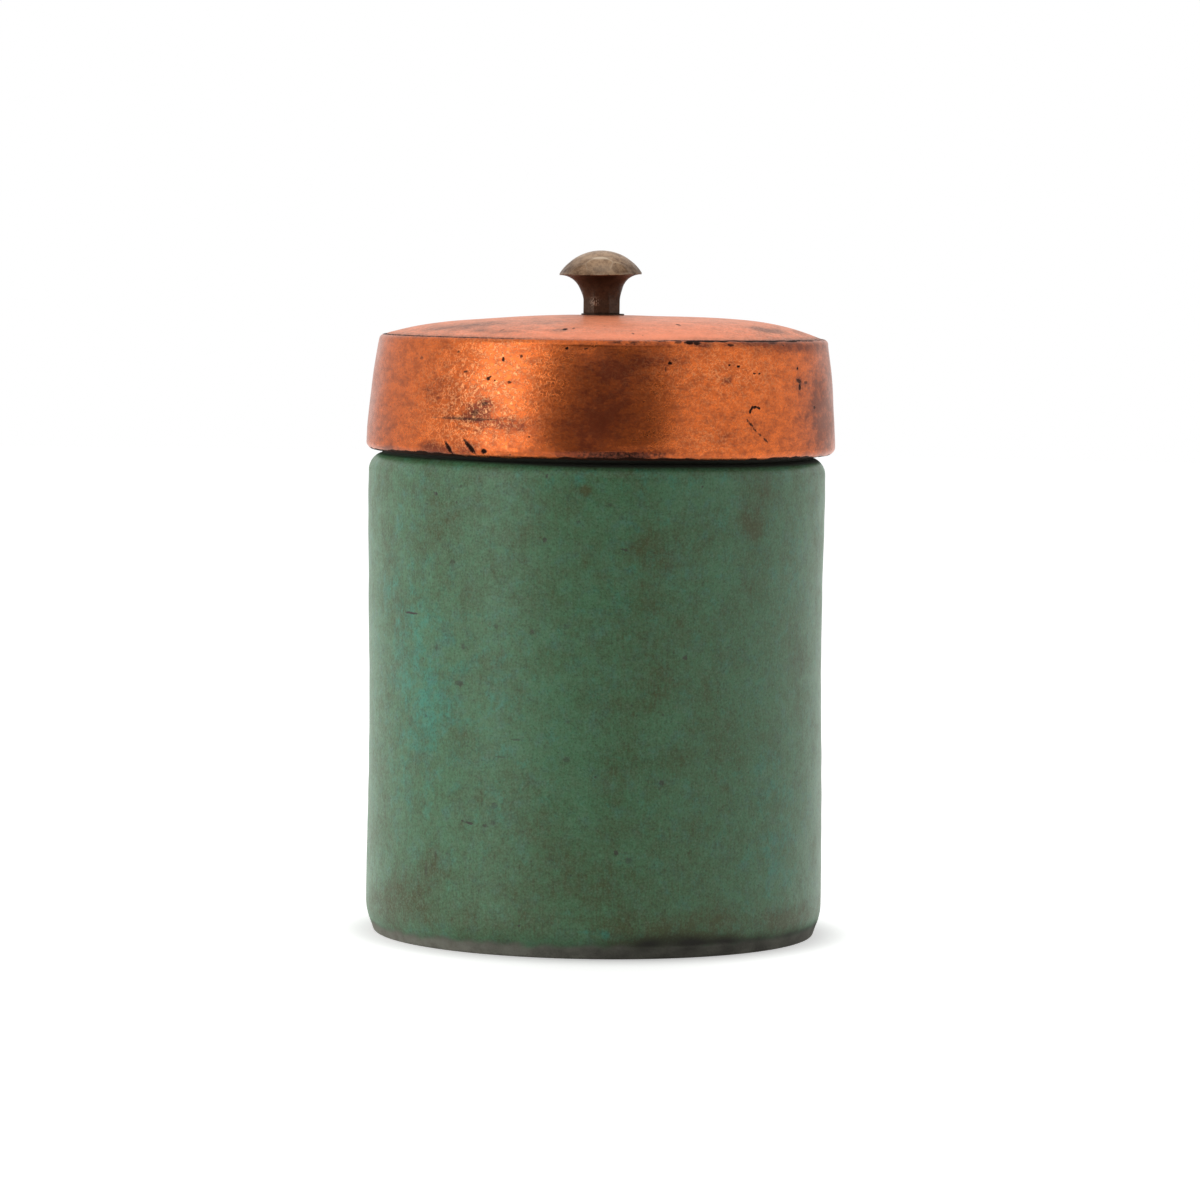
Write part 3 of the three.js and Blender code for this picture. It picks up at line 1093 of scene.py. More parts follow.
        fillet_centre = (neck + self.neck_fillet, shoulder[-1, 1] + self.neck_fillet)
        fillet = arc(fillet_centre, self.neck_fillet, 270.0, 180.0, 0.25)
        rim = arc(rim_centre, self.rim_round, 0.0, 180.0, 0.4)
        bore, cavity = radius - self.bore_setback, radius - self.wall
        t = np.linspace(0.0, 1.0, 9)[:, None]
        throat_top = wall_top + self.throat / 2.0
        throat = np.hstack((
            bore + (cavity - bore) * (1.0 - np.cos(np.pi * t)) / 2.0,
            throat_top - self.throat * t,
        ))
        hollow_centre = (cavity - self.floor_fillet, self.floor + self.floor_fillet)
        hollow = arc(hollow_centre, self.floor_fillet, 0.0, -90.0, 1.6)
        return outline(
            under,
            edge,
            taper,
            side,
            shoulder,
            fillet,
            straight(fillet[-1], rim[0], 2.2),
            rim,
            straight(rim[-1], throat[0], 4.0),
            throat,
            straight(throat[-1], hollow[0], 7.0),
            hollow,
            straight(hollow[-1], (0.0, self.floor), 8.0),
        )

    def outside(self, jar: Turned) -> np.ndarray:
        """1 on the rows of the outer wall and shoulder, and 0 on the others.

        Args:
            jar: the jar's grid.

        Returns:
            The cover of those rows.
        """
        rows = np.arange(len(jar.profile))
        widest_foot = int(np.argmax(jar.profile[:, 1] >= self.foot_edge / 2.0))
        neck_row = int(np.argmax(jar.profile[:, 1] >= self.shoulder))
        inside = (rows >= widest_foot) & (rows < neck_row)
        return np.broadcast_to(inside[:, None].astype(float), jar.points.shape[:2])

    def glaze_edge(self, jar: Turned) -> np.ndarray:
        """The height of the glaze's uneven lower edge at each bearing."""
        swing = np.sin(np.radians(jar.bearing) + 0.2)
        return self.glaze_height + self.glaze_swing * swing + 0.3 * jar.waves(around=9, along=0.0, seed=11)

    def bare_foot(self, jar: Turned) -> np.ndarray:
        """The bare clay: what lies below the glaze's lower edge, and the whole underside.

        Args:
            jar: the jar's grid.

        Returns:
            A cover from 0 to 1.
        """
        ragged_edge = self.glaze_edge(jar) + 0.2 * jar.waves(around=60, along=0.3, seed=12)
        below = 1.0 - rise(-0.9, 0.9, jar.height - ragged_edge)
        rows = np.arange(len(jar.profile))[:, None]
        outer_rows = rows < np.argmax(jar.profile[:, 1] >= self.shoulder)
        return below * outer_rows

    def grime(self, jar: Turned) -> np.ndarray:
        """Soot on the foot, darkened further towards the right by painted shade, and painted shade on the
        shoulder under the lid.

        Args:
            jar: the jar's grid.

        Returns:
            A cover from 0 to 1.
        """
        swing = np.sin(np.radians(jar.bearing))
        # The soot band thickens and its lowest mm darken towards the right: painted shade on the side away
        # from the key light.
        thick = 0.15 + 0.15 * rise(-0.6, 0.0, swing) + 0.42 * rise(-0.05, 0.35, swing)
        middle = self.soot_height - self.soot_drop * rise(0.4, 0.75, swing)
        band = thick * bell(middle, self.soot_reach, jar.height)
        low = 0.68 * rise(-0.6, 0.25, swing) * (1.0 - rise(2.0, 4.0, jar.height))
        uneven = 0.86 + 0.12 * jar.waves(around=36, along=0.2, seed=13)
        line = 0.16 * bell(0.2, 0.6, jar.height - self.glaze_edge(jar))
        line += 0.28 * jar.cover(self.smudges)
        # Painted shade on the shoulder under the lid's hem, reaching lower except on the left.
        lid_shade_low = self.shoulder_shade - 0.8 * rise(-0.8, 0.0, swing)
        ring = 0.97 * rise(0.0, 0.9, jar.height - lid_shade_low) * (1.0 - rise(*self.lid_shade_end, jar.height))
        return np.clip((np.maximum(band, low) * uneven + line) * self.outside(jar) + ring, 0.0, 1.0)

    def build(self) -> None:
        """Builds the jar, lets it lean and bulge as a hand-thrown wall does, and dresses it."""
        radius = self.box.radius
        columns = front_dense_bearings(self.columns, self.gather)
        jar = Turned(self.profile(), columns, Closing.POLES, radius)
        bare = self.bare_foot(jar)
        outside = self.outside(jar) * rise(0.5, 3.0, jar.height)
        rings = self.ring_depth * jar.waves(around=0, along=0.14, seed=21)
        dips = self.dip_depth * jar.waves(around=7, along=0.02, seed=22)
        slimmer = self.slimmer * rise(74.0, 84.0, jar.height)
        jar.swell(outside * (rings + dips - slimmer - self.glaze_step * bare))
        jar.points[..., 0] -= self.lean * rise(30.0, 82.0, jar.height)
        back_film = scattered(seed=31, count=26, heights=(8.0, 112.0), reach=(4.0, 16.0))
        back_teal = scattered(seed=32, count=14, heights=(12.0, 112.0), reach=(5.0, 18.0))
        film = jar.cover(self.film_spots + self.smudges) + self.back_strength * jar.cover(back_film)
        teal = jar.cover(self.teal_spots) + self.back_strength * jar.cover(back_teal)
        fringe = 0.2 * bell(self.taper_height, 3.0, jar.height)
        mark, force = jar.nearness(self.iron_spots)
        masks = {
            Mask.FILM: np.clip(film + fringe, 0.0, 1.0),
            Mask.TEAL: teal,
            Mask.BARE: bare,
            Mask.GRIME: self.grime(jar) * (jar.profile[:, :1] > radius - self.bore_setback + 0.5),
            Mask.MARK: mark * outside,
            Mask.FORCE: force,
        }
        skin = self.finish.material()
        place_piece(jar.piece("thrown_jar", masks), "jar", "jar_body", skin)


@dataclass(frozen=True)
class Settling:
    """How the hand-made lid sits on its jar: a little to the right, and further so at its top.

    Attributes:
        base: the height of the hem.
        aside: how far the hem lies towards +X.
        lean: how much further aside the lid lies for each mm above its hem.
        skew: how much fuller the right of the crown is, and how much flatter the left.
        skew_reach: the radius outside which the crown is even again.
        skew_power: the higher it is, the farther out the skew is strongest.
    """

    base: float
    aside: float = 0.24
    lean: float = 0.017
    skew: float = 0.48
    skew_reach: float = 51.2
    skew_power: float = 2.1

    def settle(self, turned: Turned) -> None:
        """Moves a piece of the lid aside and skews its dome.

        The move fades out over the knob's seat. The dome rises by skew sin(bearing) sin(πs), where s
        is (radius / skew reach) to the skew power.

        Args:
            turned: the piece.
        """
        points = turned.points
        share = rise(6.0, 30.0, turned.radius)
        s = np.clip(turned.radius / self.skew_reach, 0.0, 1.0) ** self.skew_power
        above = points[..., 2] - self.base
        points[..., 0] += share * (self.aside + self.lean * above)
        points[..., 2] += self.skew * np.sin(np.radians(turned.bearing)) * np.sin(np.pi * s)


@dataclass
class CopperLid:
    """The crown and the skirt of the lid.

    Attributes:
        crown_box: the room of the crown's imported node.
        skirt_box: the room of the skirt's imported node.
        stain_radius: where the crown's stains and rubbed places lie, to turn their bearings to mm.
        mark_radius: the same for the crown's small marks.
        dent_depth: how deep the dents of both sheets are.
        fullness: how far the hammering has spread the band outwards.
        clearance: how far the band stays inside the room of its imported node.
        back_strength: how strong the random tarnish of the back is beside that of the front.
    """

    crown_box: NodeBox = field(default_factory=lambda: NodeBox.of("lid_crown"))
    skirt_box: NodeBox = field(default_factory=lambda: NodeBox.of("lid_skirt"))
    sheet: float = 1.0
    crown_arc: float = 445.0
    knuckle_width: float = 18.3
    knuckle_arc: float = 73.0
    seat_radius: float = 8.1
    hole_radius: float = 2.7
    solder_film: float = 0.1
    edge_round: float = 0.12
    skirt_bulge: float = 0.3
    skirt_top_round: float = 1.4
    hem_round: float = 2.0
    hem_turn: float = 80.0
    flange_width: float = 5.6
    stain_radius: float = 46.0
    mark_radius: float = 44.0
    dent_depth: float = 0.05
    nick_depth: float = 0.35
    fray_height: float = 0.09
    back_strength: float = 0.5
    fullness: float = 0.1
    clearance: float = 0.02
    crown_crinkle: float = 0.8
    crown_inside_grime: float = 0.6
    skirt_inside_grime: float = 0.4
    skirt_inside_tarnish: float = 0.5
    columns: int = 600

    skirt_finish = WorkedCopper(
        name="planished copper sheet, browned in patches",
        bright="#dc6b2a",
        warm="#a8522a",
        brown="#682b16",
        pale="#ffb478",
        dirt_and_shade="#2a140d",
        roughness=0.25,
        crinkle_height=0.045,
        blotch_strength=0.6,
        crinkle_size=1.15,
        graze_tint="#f0e0d8",
    )
    crown_finish = WorkedCopper(
        name="spun copper dome, rubbed smooth",
        bright="#ff9c70",
        warm="#c9704c",
        brown="#80503f",
        pale="#f8c4a8",
        dirt_and_shade="#341a15",
        roughness=0.56,
        crinkle_height=0.02,
        blotch_strength=0.5,
        line_share=0.4,
        graze_tint="#f0e0d8",
    )
    # Tarnish. The spots at the front middle, near bearing 0, also darken the band where the dark card is
    # mirrored, as a painted dark reflection.
    tarnish_and_dark_reflection_spots = (
        Spot(-31.5, 126.2, 2.9, 1.7, 1, 22), Spot(-29, 128.4, 2, 1.3, 0.7, 20),
        Spot(-33.5, 124.7, 5, 0.8, 0.6), Spot(-44, 131, 6, 5, 0.35), Spot(-20, 124, 8, 2, 0.3),
        Spot(2, 137, 9, 3.5, 0.55), Spot(1, 128, 9, 6, 0.5), Spot(14, 139, 6, 2.5, 0.4),
        Spot(31.6, 134, 1.8, 1.4, 0.55), Spot(57.5, 133.2, 1.8, 2.2, 0.5), Spot(66, 130, 5, 6, 0.4),
        Spot(-4, 121, 8, 5, 0.5), Spot(4, 116.9, 17, 1.1, 0.8), Spot(-62, 116.8, 7, 0.7, 0.7),
        Spot(-44, 117.3, 6, 1.5, 1), Spot(-33, 117.6, 4, 1.6, 0.5), Spot(3, 130, 11, 16, 0.25),
        Spot(9, 142.5, 9, 0.8, 0.4), Spot(-33, 127, 8, 8, 0.3), Spot(-22, 121.5, 8, 5, 0.3),
        Spot(60, 123, 12, 9, 0.3), Spot(70, 120, 6, 5, 0.35), Spot(78, 130, 11, 16, 0.6),
        Spot(-78, 130, 10, 14, 0.2), Spot(-64, 122, 8, 5, 0.3), Spot(32, 122, 9, 6, 0.3),
        Spot(25, 142.4, 3, 0.8, 0.8), Spot(40, 142.8, 9, 0.7, 0.8), Spot(58, 142, 13, 1.5, 0.8),
    )
    crinkle_and_glint_spots = (
        Spot(-27, 136, 12, 8, 1), Spot(-30, 124, 11, 7, 0.8), Spot(-46, 128, 9, 12, 0.25),
        Spot(32, 136, 16, 7, 0.55), Spot(26, 121, 9, 4, 0.35),
    )
    skirt_marks = (
        Spot(-25.1, 138.5, 0.35, 0.5, 0.9), Spot(-35.5, 135.5, 0.5, 0.3, 0.7),
        Spot(-28.8, 134, 0.45, 0.4, 0.9), Spot(-28.2, 134.4, 0.3, 0.25, 0.8), Spot(-23, 133.3, 0.5, 0.3, 0.7),
        Spot(-38.4, 140, 0.4, 0.3, 0.7), Spot(-51.2, 138.2, 0.6, 0.4, 0.5),
        Spot(-20.4, 139.3, 0.3, 0.35, 0.7), Spot(-9.1, 141.3, 0.4, 0.35), Spot(-4.4, 141.3, 0.5, 0.3, 0.8),
        Spot(16.4, 138.2, 0.5, 0.4), Spot(15.2, 136.8, 0.25, 0.6, 0.6), Spot(32.3, 137.8, 0.35, 0.25),
        Spot(35, 137.5, 0.45, 0.35), Spot(39.9, 135.9, 0.5, 0.2), Spot(41.6, 135.8, 0.35, 0.2),
        Spot(56.3, 136.9, 0.4, 0.4), Spot(56.6, 134, 1.1, 0.5, 0.8, -15), Spot(56.9, 132.6, 0.5, 0.9, 0.9),
        Spot(60.1, 133.6, 0.8, 0.4, 0.6), Spot(64.3, 127.7, 0.6, 0.4, 0.7),
        Spot(-34.8, 124.6, 9.5, 0.24, 0.5), Spot(-31.8, 126, 1, 0.7, 0.45, 20),
        Spot(-29.2, 128.2, 0.8, 0.4, 0.5, 10), Spot(-30.2, 124.5, 1.8, 0.3, 0.45, 4),
        Spot(38, 127.1, 0.32, 0.6, 1, -15), Spot(38.7, 127.9, 0.5, 0.34, 1, 40), Spot(39.6, 128.1, 0.6, 0.32),
        Spot(40.8, 127.9, 0.55, 0.32, 1, -35), Spot(37.2, 125, 0.6, 0.26, 0.7, -45),
        Spot(38.2, 124.1, 0.7, 0.28, 0.9, -45), Spot(39.4, 122.9, 0.8, 0.26, 0.8, -45),
        Spot(41, 121.7, 0.7, 0.25, 0.7, -40), Spot(42.9, 120.4, 1, 0.25, 0.8, -38),
        Spot(-38.9, 117.6, 2.1, 0.4, 1, -58), Spot(-32.8, 118.2, 2.2, 0.42, 1, -50),
        Spot(-32.2, 117.6, 1.2, 0.5, 1, -50), Spot(-28.7, 117.2, 0.65, 0.6), Spot(21.6, 142.95, 1.1, 0.45),
        Spot(23.5, 142.85, 0.8, 0.45, 0.9), Spot(33, 142.4, 0.8, 0.3, 0.8), Spot(18.6, 143, 0.8, 0.3, 0.6),
        Spot(47, 142.9, 1.4, 0.3, 0.5),
    )
    hem_nicks = (
        Spot(-38.7, 117.6, 1.1, 0.45, 1, -55), Spot(-32.2, 117.7, 1.3, 0.5, 1, -50),
    )
    crown_stains = (
        Spot(55.6, 44.6, 3.6, 2.6, 0.9), Spot(61.8, 46.4, 4.2, 2.2, 0.8), Spot(77.5, 47.4, 5, 2, 0.6),
        Spot(-36.7, 47.1, 2.6, 1.6, 0.65), Spot(-29.2, 47, 3.2, 1.6, 0.6), Spot(-48, 40, 8, 7, 0.75),
        Spot(-60, 46, 8, 4, 0.5), Spot(-24, 34, 11, 7, 0.5), Spot(-14, 45.5, 2.4, 1.6, 0.7),
        Spot(12, 38, 9, 5, 0.35), Spot(26, 50.6, 8, 1.1, 0.5),
    )
    # The first spot, in front of the knob, is painted light that offsets the knob's shadow and reflection on
    # the dome; the others are rubbed places.
    crown_worn_and_lit = (
        Spot(0, 18, 11, 14, 0.9), Spot(4, 50, 24, 3, 0.9), Spot(26, 47, 8, 4, 0.4), Spot(16, 41, 18, 8, 0.6),
    )
    crown_marks = (
        Spot(-11.8, 44.3, 0.6, 1), Spot(-9.5, 43.2, 0.3, 0.7, 0.8), Spot(26.2, 38.9, 0.5, 0.9, 0.9),
        Spot(-31, 46, 0.3, 0.8, 0.6), Spot(8, 47.5, 0.3, 0.6, 0.5),
    )

    @property
    def knuckle_start(self) -> float:
        """The radius where the crown's flat middle ends."""
        return self.crown_box.radius - self.knuckle_width

    @property
    def seat(self) -> float:
        """The radius where the crown meets the rounded top edge of the skirt."""
        return self.crown_box.radius + self.solder_film

    @property
    def lip_height(self) -> float:
        """The height of the crown's edge and of the skirt's lip round it."""
        return float(self.crown_top(self.crown_box.radius))

    def crown_sine(self, radius: np.ndarray) -> np.ndarray:
        """Sine of the dome's slope: radius / arc in the middle, then a tighter arc carries it on."""
        start = self.knuckle_start
        return np.minimum(radius, start) / self.crown_arc + np.maximum(radius - start, 0.0) / self.knuckle_arc

    def crown_top(self, radius: np.ndarray) -> np.ndarray:
        """Height of the dome's upper face: its peak less the drop of the two arcs.

        An arc that turns from slope sine a to slope sine b drops by its radius times the difference
        of their cosines. Inside the knob's seat the dome is flat.

        Args:
            radius: distances from the axis.

        Returns:
            The heights.
        """
        cosine_start = math.sqrt(1.0 - (self.knuckle_start / self.crown_arc) ** 2)
        seat_cosine = math.sqrt(1.0 - (self.seat_radius / self.crown_arc) ** 2)
        held = np.maximum(radius, self.seat_radius)
        cosine = np.sqrt(1.0 - self.crown_sine(held) ** 2)
        middle = self.crown_arc * (1.0 - np.maximum(cosine, cosine_start))
        knuckle = self.knuckle_arc * np.maximum(cosine_start - cosine, 0.0)
        return self.crown_box.top - middle - knuckle + self.crown_arc * (1.0 - seat_cosine)

    def plumb(self, radius: np.ndarray) -> np.ndarray:
        """The sheet measured straight down: its thickness over the cosine of the slope."""
        seated = np.asarray(radius, float) <= self.seat_radius
        return self.sheet / np.where(seated, 1.0, np.sqrt(1.0 - self.crown_sine(radius) ** 2))

    def dome_curve(self, first: float, last: float, step: float, below: int = 0) -> np.ndarray:
        """Points along the dome.

        Args:
            first: the radius where they start.
            last: the radius where they end.
            step: how far apart they lie.
            below: 0 for the crown's upper face, 1 for its underside, 2 for the flange's upper face
                and 3 for the flange's underside.

        Returns:
            The points.
        """
        radius = straight((first, 0.0), (last, 0.0), step)[:, 0]
        sheets, films = (0, 1, 1, 2)[below], (0, 0, 1, 1)[below]
        drop = sheets * self.plumb(radius) + films * self.solder_film
        return np.column_stack((radius, self.crown_top(radius) - drop))

    def crown_profile(self) -> np.ndarray:
        """The crown's outline: out along the underside, up its cut edge and back over the dome.

        Returns:
            The outline's points.
        """
        edge, small = self.crown_box.radius, self.edge_round
        under = self.dome_curve(self.hole_radius, edge - small, 1.5, below=1)
        dome = outline(
            self.dome_curve(edge - small, edge - 1.5, 0.16),
            self.dome_curve(edge - 1.5, self.knuckle_start, 0.5),
            self.dome_curve(self.knuckle_start, self.seat_radius, 1.1),
            self.dome_curve(self.seat_radius, self.hole_radius, 1.8),
        )
        low = arc((edge - small, under[-1, 1] + small), small, -90.0, 0.0, 0.1)
        high = arc((edge - small, dome[0, 1] - small), small, 0.0, 75.0, 0.08)
        wall = straight(dome[-1], under[0], 0.5)[1:-1]
        return outline(under, low, straight(low[-1], high[0], 0.2), high, dome[1:], wall)

    def skirt_profile(self) -> np.ndarray:
        """The skirt's outline: up the band, over its rounded lip, along the flange and down inside.

        The band's radius falls from the hem to the lip and bulges by sin(πt) between them.

        Returns:
            The outline's points.
        """
        hem = self.skirt_box.radius - Settling.aside - Settling.lean * self.hem_round
        top_radius = self.seat + self.skirt_top_round
        band_top = self.lip_height - self.skirt_top_round
        end_low, end_high = -self.hem_turn, 180.0 - self.hem_turn
        turned_in = math.radians(end_low)
        centre = (hem - self.hem_round, self.skirt_box.base - self.hem_round * math.sin(turned_in))
        inner_edge = top_radius - self.flange_width + self.sheet / 2.0

        def band(first: float, last: float, setback: float, step: float) -> np.ndarray:
            """Points of the band from one height to another, set back from its outer face.

            Args:
                first: the height where they start.
                last: the height where they end.
                setback: how far they are set back.
                step: about how far apart they lie.

            Returns:
                The points, one a row.
            """
            height = straight((0.0, first), (0.0, last), step)[:, 1]
            t = np.clip((height - centre[1]) / (band_top - centre[1]), 0.0, 1.0)
            flare = hem - (hem - top_radius) * t + self.skirt_bulge * np.sin(np.pi * t)
            return np.column_stack((flare - setback, height))

        end_radius = self.hem_round - self.sheet / 2.0
        end_centre = (
            centre[0] + end_radius * math.cos(turned_in),
            centre[1] + end_radius * math.sin(turned_in),
        )
        flange_top = self.dome_curve(self.seat, inner_edge, 0.8, below=2)
        flange_under = self.dome_curve(inner_edge, self.seat, 1.0, below=3)
        nose = (flange_top[-1] + flange_under[0]) / 2.0
        return outline(
            arc(centre, self.hem_round, end_low, 0.0, 0.2),
            band(centre[1], band_top, 0.0, 0.34),
            arc((self.seat, band_top), self.skirt_top_round, 0.0, 90.0, 0.1),
            straight((self.seat, self.lip_height), flange_top[0], 0.4),
            flange_top,
            arc(nose, self.sheet / 2.0, 80.0, 280.0, 0.4)[1:-1],
            flange_under,
            band(flange_under[-1, 1] - self.sheet, centre[1], self.sheet, 1.4),
            arc(centre, self.hem_round - self.sheet, 0.0, end_low, 0.35),
            arc(end_centre, self.sheet / 2.0, end_high, end_high + 180.0, 0.3)[1:-1],
        )

    def seam_dirt(self, bearing: np.ndarray) -> np.ndarray:
        """How dark the seam between crown and skirt is: rubbed clean at the front, darkest on the right."""
        worn = 0.3 * rise(-34.0, -8.0, bearing) + 0.3 * rise(48.0, 74.0, bearing)
        return 0.62 - worn + 0.5 * rise(6.0, 26.0, bearing)

    def build_crown(self, settling: Settling) -> None:
        """Builds the crown, skews and leans it, and dresses it.

        Args:
            settling: how the lid sits on the jar.
        """
        edge = self.crown_box.radius
        columns = front_dense_bearings(self.columns, gather=0.25)
        crown = Turned(self.crown_profile(), columns, Closing.RING, self.stain_radius, flat=True)
        from_edge = edge - crown.radius
        on_top = (crown.height >= self.crown_top(crown.radius) - 0.02).astype(float)
        dips = self.dent_depth * crown.waves(around=5, along=0.03, seed=41)
        crown.points[..., 2] += dips * rise(9.0, 16.0, crown.radius) * rise(1.0, 8.0, from_edge)
        settling.settle(crown)
        ragged_edge = 0.08 * crown.waves(around=90, along=0.3, seed=43) * rise(0.0, 25.0, crown.bearing)
        breadth = 0.35 + 0.3 * rise(5.0, 25.0, crown.bearing)
        seam = rise(breadth, 0.1, from_edge + ragged_edge) * self.seam_dirt(crown.bearing)
        browned = crown.cover(self.crown_stains)
        browned += 0.5 * rise(2.6, 0.0, from_edge)
        browned += 0.35 * rise(34.0, 56.0, crown.bearing) * rise(4.0, 0.5, from_edge)
        mark, force = crown.nearness(self.crown_marks, self.mark_radius)
        masks = {
            Mask.TARNISH: np.clip(browned, 0.0, 1.0),
            Mask.CRINKLE: np.full_like(crown.height, self.crown_crinkle),
            Mask.GRIME: np.where(on_top > 0.5, seam, self.crown_inside_grime),
            Mask.WORN: on_top * crown.cover(self.crown_worn_and_lit),
            Mask.MARK: mark * on_top,
            Mask.FORCE: force,
        }
        skin = self.crown_finish.material()
        place_piece(crown.piece("domed_crown", masks), "lid", "lid_crown", skin)

    def build_skirt(self, settling: Settling) -> None:
        """Builds the skirt, planishes it with shallow dents, nicks its hem and dresses it.

        Args:
            settling: how the lid sits on the jar.
        """
        base, lip = self.skirt_box.base, self.lip_height
        columns = front_dense_bearings(self.columns, gather=0.3)
        skirt = Turned(self.skirt_profile(), columns, Closing.RING, self.crown_box.radius)
        rows = np.arange(len(skirt.profile))[:, None]
        outer_rows = rows <= np.argmax(skirt.profile[:, 1])
        outer = np.broadcast_to(outer_rows, skirt.points.shape[:2]).astype(float)
        planished = self.dent_depth * skirt.waves(around=26, along=0.09, seed=51)
        sag = self.dent_depth * skirt.waves(around=6, along=0.0, seed=52)
        cut = self.nick_depth * skirt.cover(self.hem_nicks)
        shifted = settling.aside + settling.lean * (skirt.height - base)
        room = self.skirt_box.radius - self.clearance - shifted - skirt.radius
        fade = rise(0.4, 2.5, skirt.height - base) * rise(0.2, 2.0, lip - skirt.height)
        skirt.swell(outer * (fade * np.minimum(self.fullness + planished + sag, room) - cut))
        hem = 1.0 - rise(0.0, 1.4, skirt.height - base)
        frayed = rise(-0.4, 1.5, skirt.waves(around=120, along=0.0, seed=53))
        skirt.points[..., 2] += self.fray_height * hem * frayed
        settling.settle(skirt)
        tarnish = skirt.cover(self.tarnish_and_dark_reflection_spots)
        behind = scattered(seed=54, count=22, heights=(118.0, 140.0), reach=(2.5, 9.0))
        tarnish += self.back_strength * skirt.cover(behind)
        mark, force = skirt.nearness(self.skirt_marks)
        # The crinkle cover also places the painted glints, so its spots sit where the skirt's highlights
        # fall.
        crinkle = 0.06 + 0.9 * skirt.cover(self.crinkle_and_glint_spots)
        ragged_hem = skirt.waves(around=80, along=0.3, seed=55)
        # The hem's rounding darkens as a dark edge and as painted shade, and at the front the lip's rounding
        # is painted dark too; the seam is a dark joint.
        front = bell(5.0, 17.0, skirt.bearing)
        hem_dirt_and_shade = 0.1 + 0.15 * rise(-15.0, -45.0, skirt.bearing) + 0.5 * front
        hem_dirt_and_shade += 0.4 * rise(-0.4, 1.2, skirt.waves(around=14, along=0.0, seed=58))
        under_hem = rise(hem_dirt_and_shade + 0.55, hem_dirt_and_shade - 0.25, skirt.height - base + 0.1 * ragged_hem)
        ragged_lip = 0.08 * skirt.waves(around=90, along=0.4, seed=56) * rise(0.0, 25.0, skirt.bearing)
        breadth = 0.28 + 0.1 * rise(5.0, 25.0, skirt.bearing)
        seam = rise(breadth, 0.1, lip - skirt.height + ragged_lip) * self.seam_dirt(skirt.bearing)
        at_hem, at_lip = rise(2.7, 1.9, skirt.height - base), rise(2.0, 0.8, lip - skirt.height)
        dull = front * np.maximum(0.52 * at_hem, 0.4 * at_lip)
        rubbed = 0.35 * bell(1.9, 0.6, skirt.height - base) * rise(4.0, -12.0, skirt.bearing)
        patchy = rise(-0.5, 1.0, skirt.waves(around=30, along=0.0, seed=57))
        dirt_and_shade = np.maximum(np.maximum(under_hem, seam), dull)
        masks = {
            Mask.TARNISH: np.where(outer > 0.5, np.clip(tarnish, 0.0, 1.0), self.skirt_inside_tarnish),
            Mask.CRINKLE: crinkle * outer,
            Mask.GRIME: np.where(outer > 0.5, dirt_and_shade, self.skirt_inside_grime),
            Mask.WORN: outer * rubbed * patchy,
            Mask.MARK: mark * outer,
            Mask.FORCE: force,
        }
        skin = self.skirt_finish.material()
        place_piece(skirt.piece("flared_skirt", masks), "lid", "lid_skirt", skin)

    def build(self) -> None:
        """Builds both pieces of the lid."""
        settling = Settling(base=self.skirt_box.base)
        self.build_crown(settling)
        self.build_skirt(settling)


@dataclass(frozen=True)
class Flat:
    """One flat that the file has cut on the knob's cap.

    Attributes:
        bearing: the direction that it faces.
        tilt: how far it faces up, in degrees.
        depth: how deep it cuts into the dome.
    """

    bearing: float
    tilt: float
    depth: float


